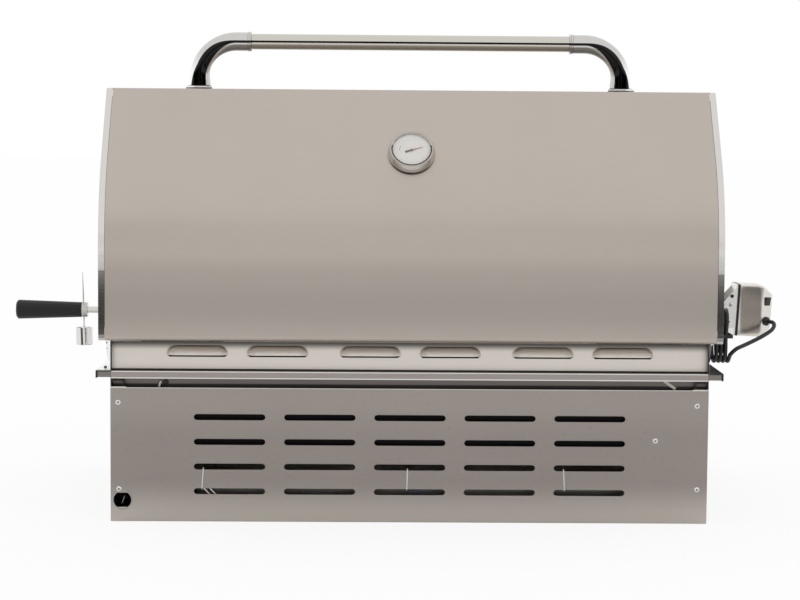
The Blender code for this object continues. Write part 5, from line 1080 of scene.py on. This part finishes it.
def make_thermometer_case():
    """Polished case with a rounded lip, and the pale dial in it."""
    case = turned_piece("thermometer_ring", [
        (0, GAUGE_FLOOR - 0.0002), (0.0304, GAUGE_FLOOR - 0.0002), (0.0305, GAUGE_TOP - 0.0014),
        (0.0310, GAUGE_TOP - 0.0005), (0.0328, GAUGE_TOP), (0.0336, GAUGE_TOP - 0.0002),
        (0.0342, GAUGE_TOP - 0.0008), (0.0345, GAUGE_TOP - 0.0018), (0.0356, 0.0100), (0.0366, 0.0065),
        (0.0372, 0.0040), (0.0375, 0.0022), (0.0375, 0.0004), (0, 0.0004),
    ], GAUGE_SEAT, RING_STEEL, "hood", 50, 96)
    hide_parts("thermometer_case")
    disc = [(0, GAUGE_FLOOR), (DIAL_RADIUS, GAUGE_FLOOR), (DIAL_RADIUS, DIAL_TOP), (0, DIAL_TOP)]
    dial = turned_piece("thermometer_dial_face", disc, GAUGE_SEAT, DIAL_FACE, "hood", 30, 64)
    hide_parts("thermometer_dial")


def make_thermometer_gap_shade():
    """Painted shade as a dark ring between the glass and the case, seen along the dial's lower side."""
    first, last = GAP_SHADE_SWEEP
    bm = bmesh.new()
    verts = [bm.verts.new(corner) for corner in (
        (DIAL_RADIUS, 0, GAP_SHADE_LOW), (GAP_SHADE_OUTER, 0, GAP_SHADE_LOW),
        (GAP_SHADE_OUTER, 0, GAUGE_TOP - 0.0001), (DIAL_RADIUS, 0, GAUGE_TOP - 0.0003))]
    face = bm.faces.new(verts)
    bmesh.ops.rotate(bm, verts=verts, cent=(0, 0, 0), matrix=Matrix.Rotation(radians(first), 3, 'Z'))
    bmesh.ops.spin(bm, geom=[face], axis=(0, 0, 1), cent=(0, 0, 0), angle=radians(last - first), steps=60)
    bmesh.ops.transform(bm, matrix=GAUGE_SEAT, verts=bm.verts)
    finish_piece("thermometer_gap_shade", bm, SHADOW_SEAM, "hood", 30)


def make_dial_print():
    """Scale strokes, each fifth one longer, and the short arc printed on the dial."""
    strokes = []
    for index in range(SCALE_STEPS + 1):
        inner, half = (0.0255, 0.00022) if index % 5 == 0 else (0.0266, 0.00014)
        turn = Matrix.Rotation(radians(SCALE_START + SCALE_SWEEP * index / SCALE_STEPS), 4, 'Z')
        strokes.append(((inner, -half, DIAL_TOP), (0.0285, half, PRINT_TOP), GAUGE_SEAT @ turn))
    boxed_piece("dial_strokes", strokes, PALE_INK, "hood")
    turns = [Matrix.Rotation(radians(4 * index - 26), 4, 'Z') for index in range(7)]
    arc = [((0.0186, -0.0007, DIAL_TOP), (0.0193, 0.0007, PRINT_TOP), GAUGE_SEAT @ turn) for turn in turns]
    boxed_piece("dial_arc", arc, DIAL_INK, "hood")


make_thermometer_case()
make_thermometer_gap_shade()
make_dial_print()


# Handle

LEG_OVERLAP = 0.002
FLARE_WIDTH = 0.0045
FLARE_HEIGHT = 0.045
COLLAR = ((0, 0.0003), (0.0158, 0.0003), (0.0165, 0.0008), (0.0165, 0.0018), (0.0158, 0.0024),
          (0.0156, 0.0032), (0.0158, 0.0040), (0.0164, 0.0046), (0.0164, 0.0056), (0.0154, 0.0062),
          (0, 0.0062))
FLANGE = ((0, 0), (0.0218, 0), (0.0220, 0.0012), (0.0218, 0.0044), (0.0212, 0.0054), (0.0180, 0.0060),
          (0.0165, 0.0068), (0, 0.0068))


def flare_leg(bm, side, foot):
    """Widens the leg's inner side towards its foot."""
    for vert in bm.verts:
        out = max(side * vert.co.x - (LEG_X - LEG_BEND), 0.0)
        up = max(vert.co.z - (BAR_Z - LEG_BEND), 0.0)
        inner = (LEG_BEND - sqrt(out * out + up * up)) / LEG_TUBE
        share = smooth_step(1 - (vert.co.z - foot) / FLARE_HEIGHT)
        vert.co.x -= side * FLARE_WIDTH * share * (inner + 1) / 2


def make_elbow(side, side_name):
    """A bent tube from its flange on the hood to its collar on the bar."""
    node = f"handle_{side_name}_elbow"
    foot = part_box(node)[0][2]
    bm = bmesh.new()
    ring = bmesh.ops.create_circle(bm, cap_ends=False, segments=64, radius=LEG_TUBE)["verts"]
    bmesh.ops.translate(bm, vec=(side * LEG_X, BAR_Y, foot + LEG_OVERLAP), verts=ring)
    edges = list({edge for vert in ring for edge in vert.link_edges})
    edges = push_edges(bm, edges, (0, 0, BAR_Z - LEG_BEND - foot - LEG_OVERLAP))
    centre = (side * (LEG_X - LEG_BEND), BAR_Y, BAR_Z - LEG_BEND)
    spun = bmesh.ops.spin(bm, geom=edges + list({vert for edge in edges for vert in edge.verts}),
                          axis=(0, 1, 0), cent=centre, angle=-side * pi / 2, steps=28)
    edges = [item for item in spun["geom_last"] if isinstance(item, bmesh.types.BMEdge)]
    push_edges(bm, edges, (-side * (LEG_X - LEG_BEND - BAR_HIGH[0] - LEG_OVERLAP), 0, 0))
    bmesh.ops.holes_fill(bm, edges=[edge for edge in bm.edges if edge.is_boundary], sides=0)
    flare_leg(bm, side, foot)
    add_turned(bm, COLLAR, facing((side * BAR_HIGH[0], BAR_Y, BAR_Z), (side, 0, 0)), 64)
    add_turned(bm, FLANGE, facing((side * LEG_X, BAR_Y, foot), UPWARD), 64)
    elbow = finish_piece(f"bent_leg_{side_name}", bm, LEG_STEEL, "hood", 40)
    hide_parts(node)


def make_handle():
    """The round bar and its two smooth bent legs with ridged collars and thin flanges."""
    half, radius = BAR_HIGH[0], (BAR_HIGH[2] - BAR_LOW[2]) / 2
    profile = [(0, -half), (radius, -half), (radius, half), (0, half)]
    bar = turned_piece("grab_bar", profile, facing((0, BAR_Y, BAR_Z), (1, 0, 0)), BAR_STEEL, "hood", 40, 96)
    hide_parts("handle_bar")
    for side, side_name in ((1, "right"), (-1, "left")):
        make_elbow(side, side_name)


make_handle()


# Counterbalance

def make_counterweight():
    """Round weight with broken edges on the rod."""
    top, bottom, radius, hole, edge = -0.0290, -0.0596, 0.0140, 0.0019, 0.0008
    profile = [(0, bottom), (radius - edge, bottom), (radius, bottom + edge), (radius, top - edge),
               (radius - edge, top), (hole, top), (0, top - 0.0006)]
    seat = facing(COUNTER_PLACE, COUNTER_AXIS)
    weight = turned_piece("round_weight", profile, seat, CHROME, "counterweight", 40, 64)
    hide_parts("counterweight")


make_counterweight()


# Floor, world and dark cards

DARK_CARDS = (
    ("dark_floor", (3.2, 0.004), (5.7, 0.004), -17, 19),
    ("dark_floor_left", (2.2, 0.004), (3.6, 0.004), -52, -24),
    ("dark_floor_right", (2.2, 0.004), (3.6, 0.004), 24, 52),
    ("dark_card_left", (4.0, 0.55), (4.0, 1.15), -68, -14.6),
    ("dark_card_right", (4.0, 0.55), (4.0, 1.15), 17, 68),
    ("dark_strip", (4.0, 0.60), (4.0, 0.94), -12, 14.4),
)


def floor_material():
    """Matt white that takes the shadows, blended with an even white where the camera sees it."""
    finish = Finish("white_floor", (1, 1, 1), 1.0)
    finish.nodes.remove(finish.shader)
    matt = finish.add('ShaderNodeBsdfDiffuse', inputs={"Color": (0.94, 0.94, 0.94, 1)})
    even = finish.add('ShaderNodeEmission')
    seen = finish.add('ShaderNodeLightPath', output="Is Camera Ray")
    blend = finish.add('ShaderNodeMixShader', inputs=[seen * 0.85, matt, even])
    finish.feed(finish.nodes["Material Output"].inputs["Surface"], blend)
    return finish.material


def make_floor():
    """A wide floor just below the grill."""
    bm = bmesh.new()
    bmesh.ops.create_grid(bm, x_segments=1, y_segments=1, size=30)
    bmesh.ops.translate(bm, vec=(0, 0, -0.0004), verts=bm.verts)
    floor = link_mesh("floor", bm, floor_material())


def make_world():
    """An even white light from all sides."""
    world = bpy.data.worlds.new("studio")
    world.use_nodes = True
    light = world.node_tree.nodes["Background"]
    light.inputs["Color"].default_value = (1, 1, 1, 1)
    light.inputs["Strength"].default_value = 1.0
    bpy.context.scene.world = world


def add_dark_arc(name, low, high, first, last):
    """A dark band round the grill's rear, between two angles, that only the polished metal mirrors."""
    bm = bmesh.new()
    verts = [bm.verts.new((0, radius, height)) for radius, height in (low, high)]
    geometry = verts + [bm.edges.new(verts)]
    bmesh.ops.rotate(bm, verts=verts, cent=(0, 0, 0), matrix=Matrix.Rotation(radians(first), 3, 'Z'))
    bmesh.ops.spin(bm, geom=geometry, axis=(0, 0, 1), cent=(0, 0, 0), angle=radians(last - first), steps=40)
    card = link_mesh(name, bm, plain(name, (0.02, 0.02, 0.02), 0.9))
    card.visible_camera = False
    card.visible_diffuse = False
    card.visible_shadow = False


bpy.context.scene.view_settings.view_transform = 'Standard'
make_floor()
make_world()
for card_place in DARK_CARDS:
    add_dark_arc(*card_place)
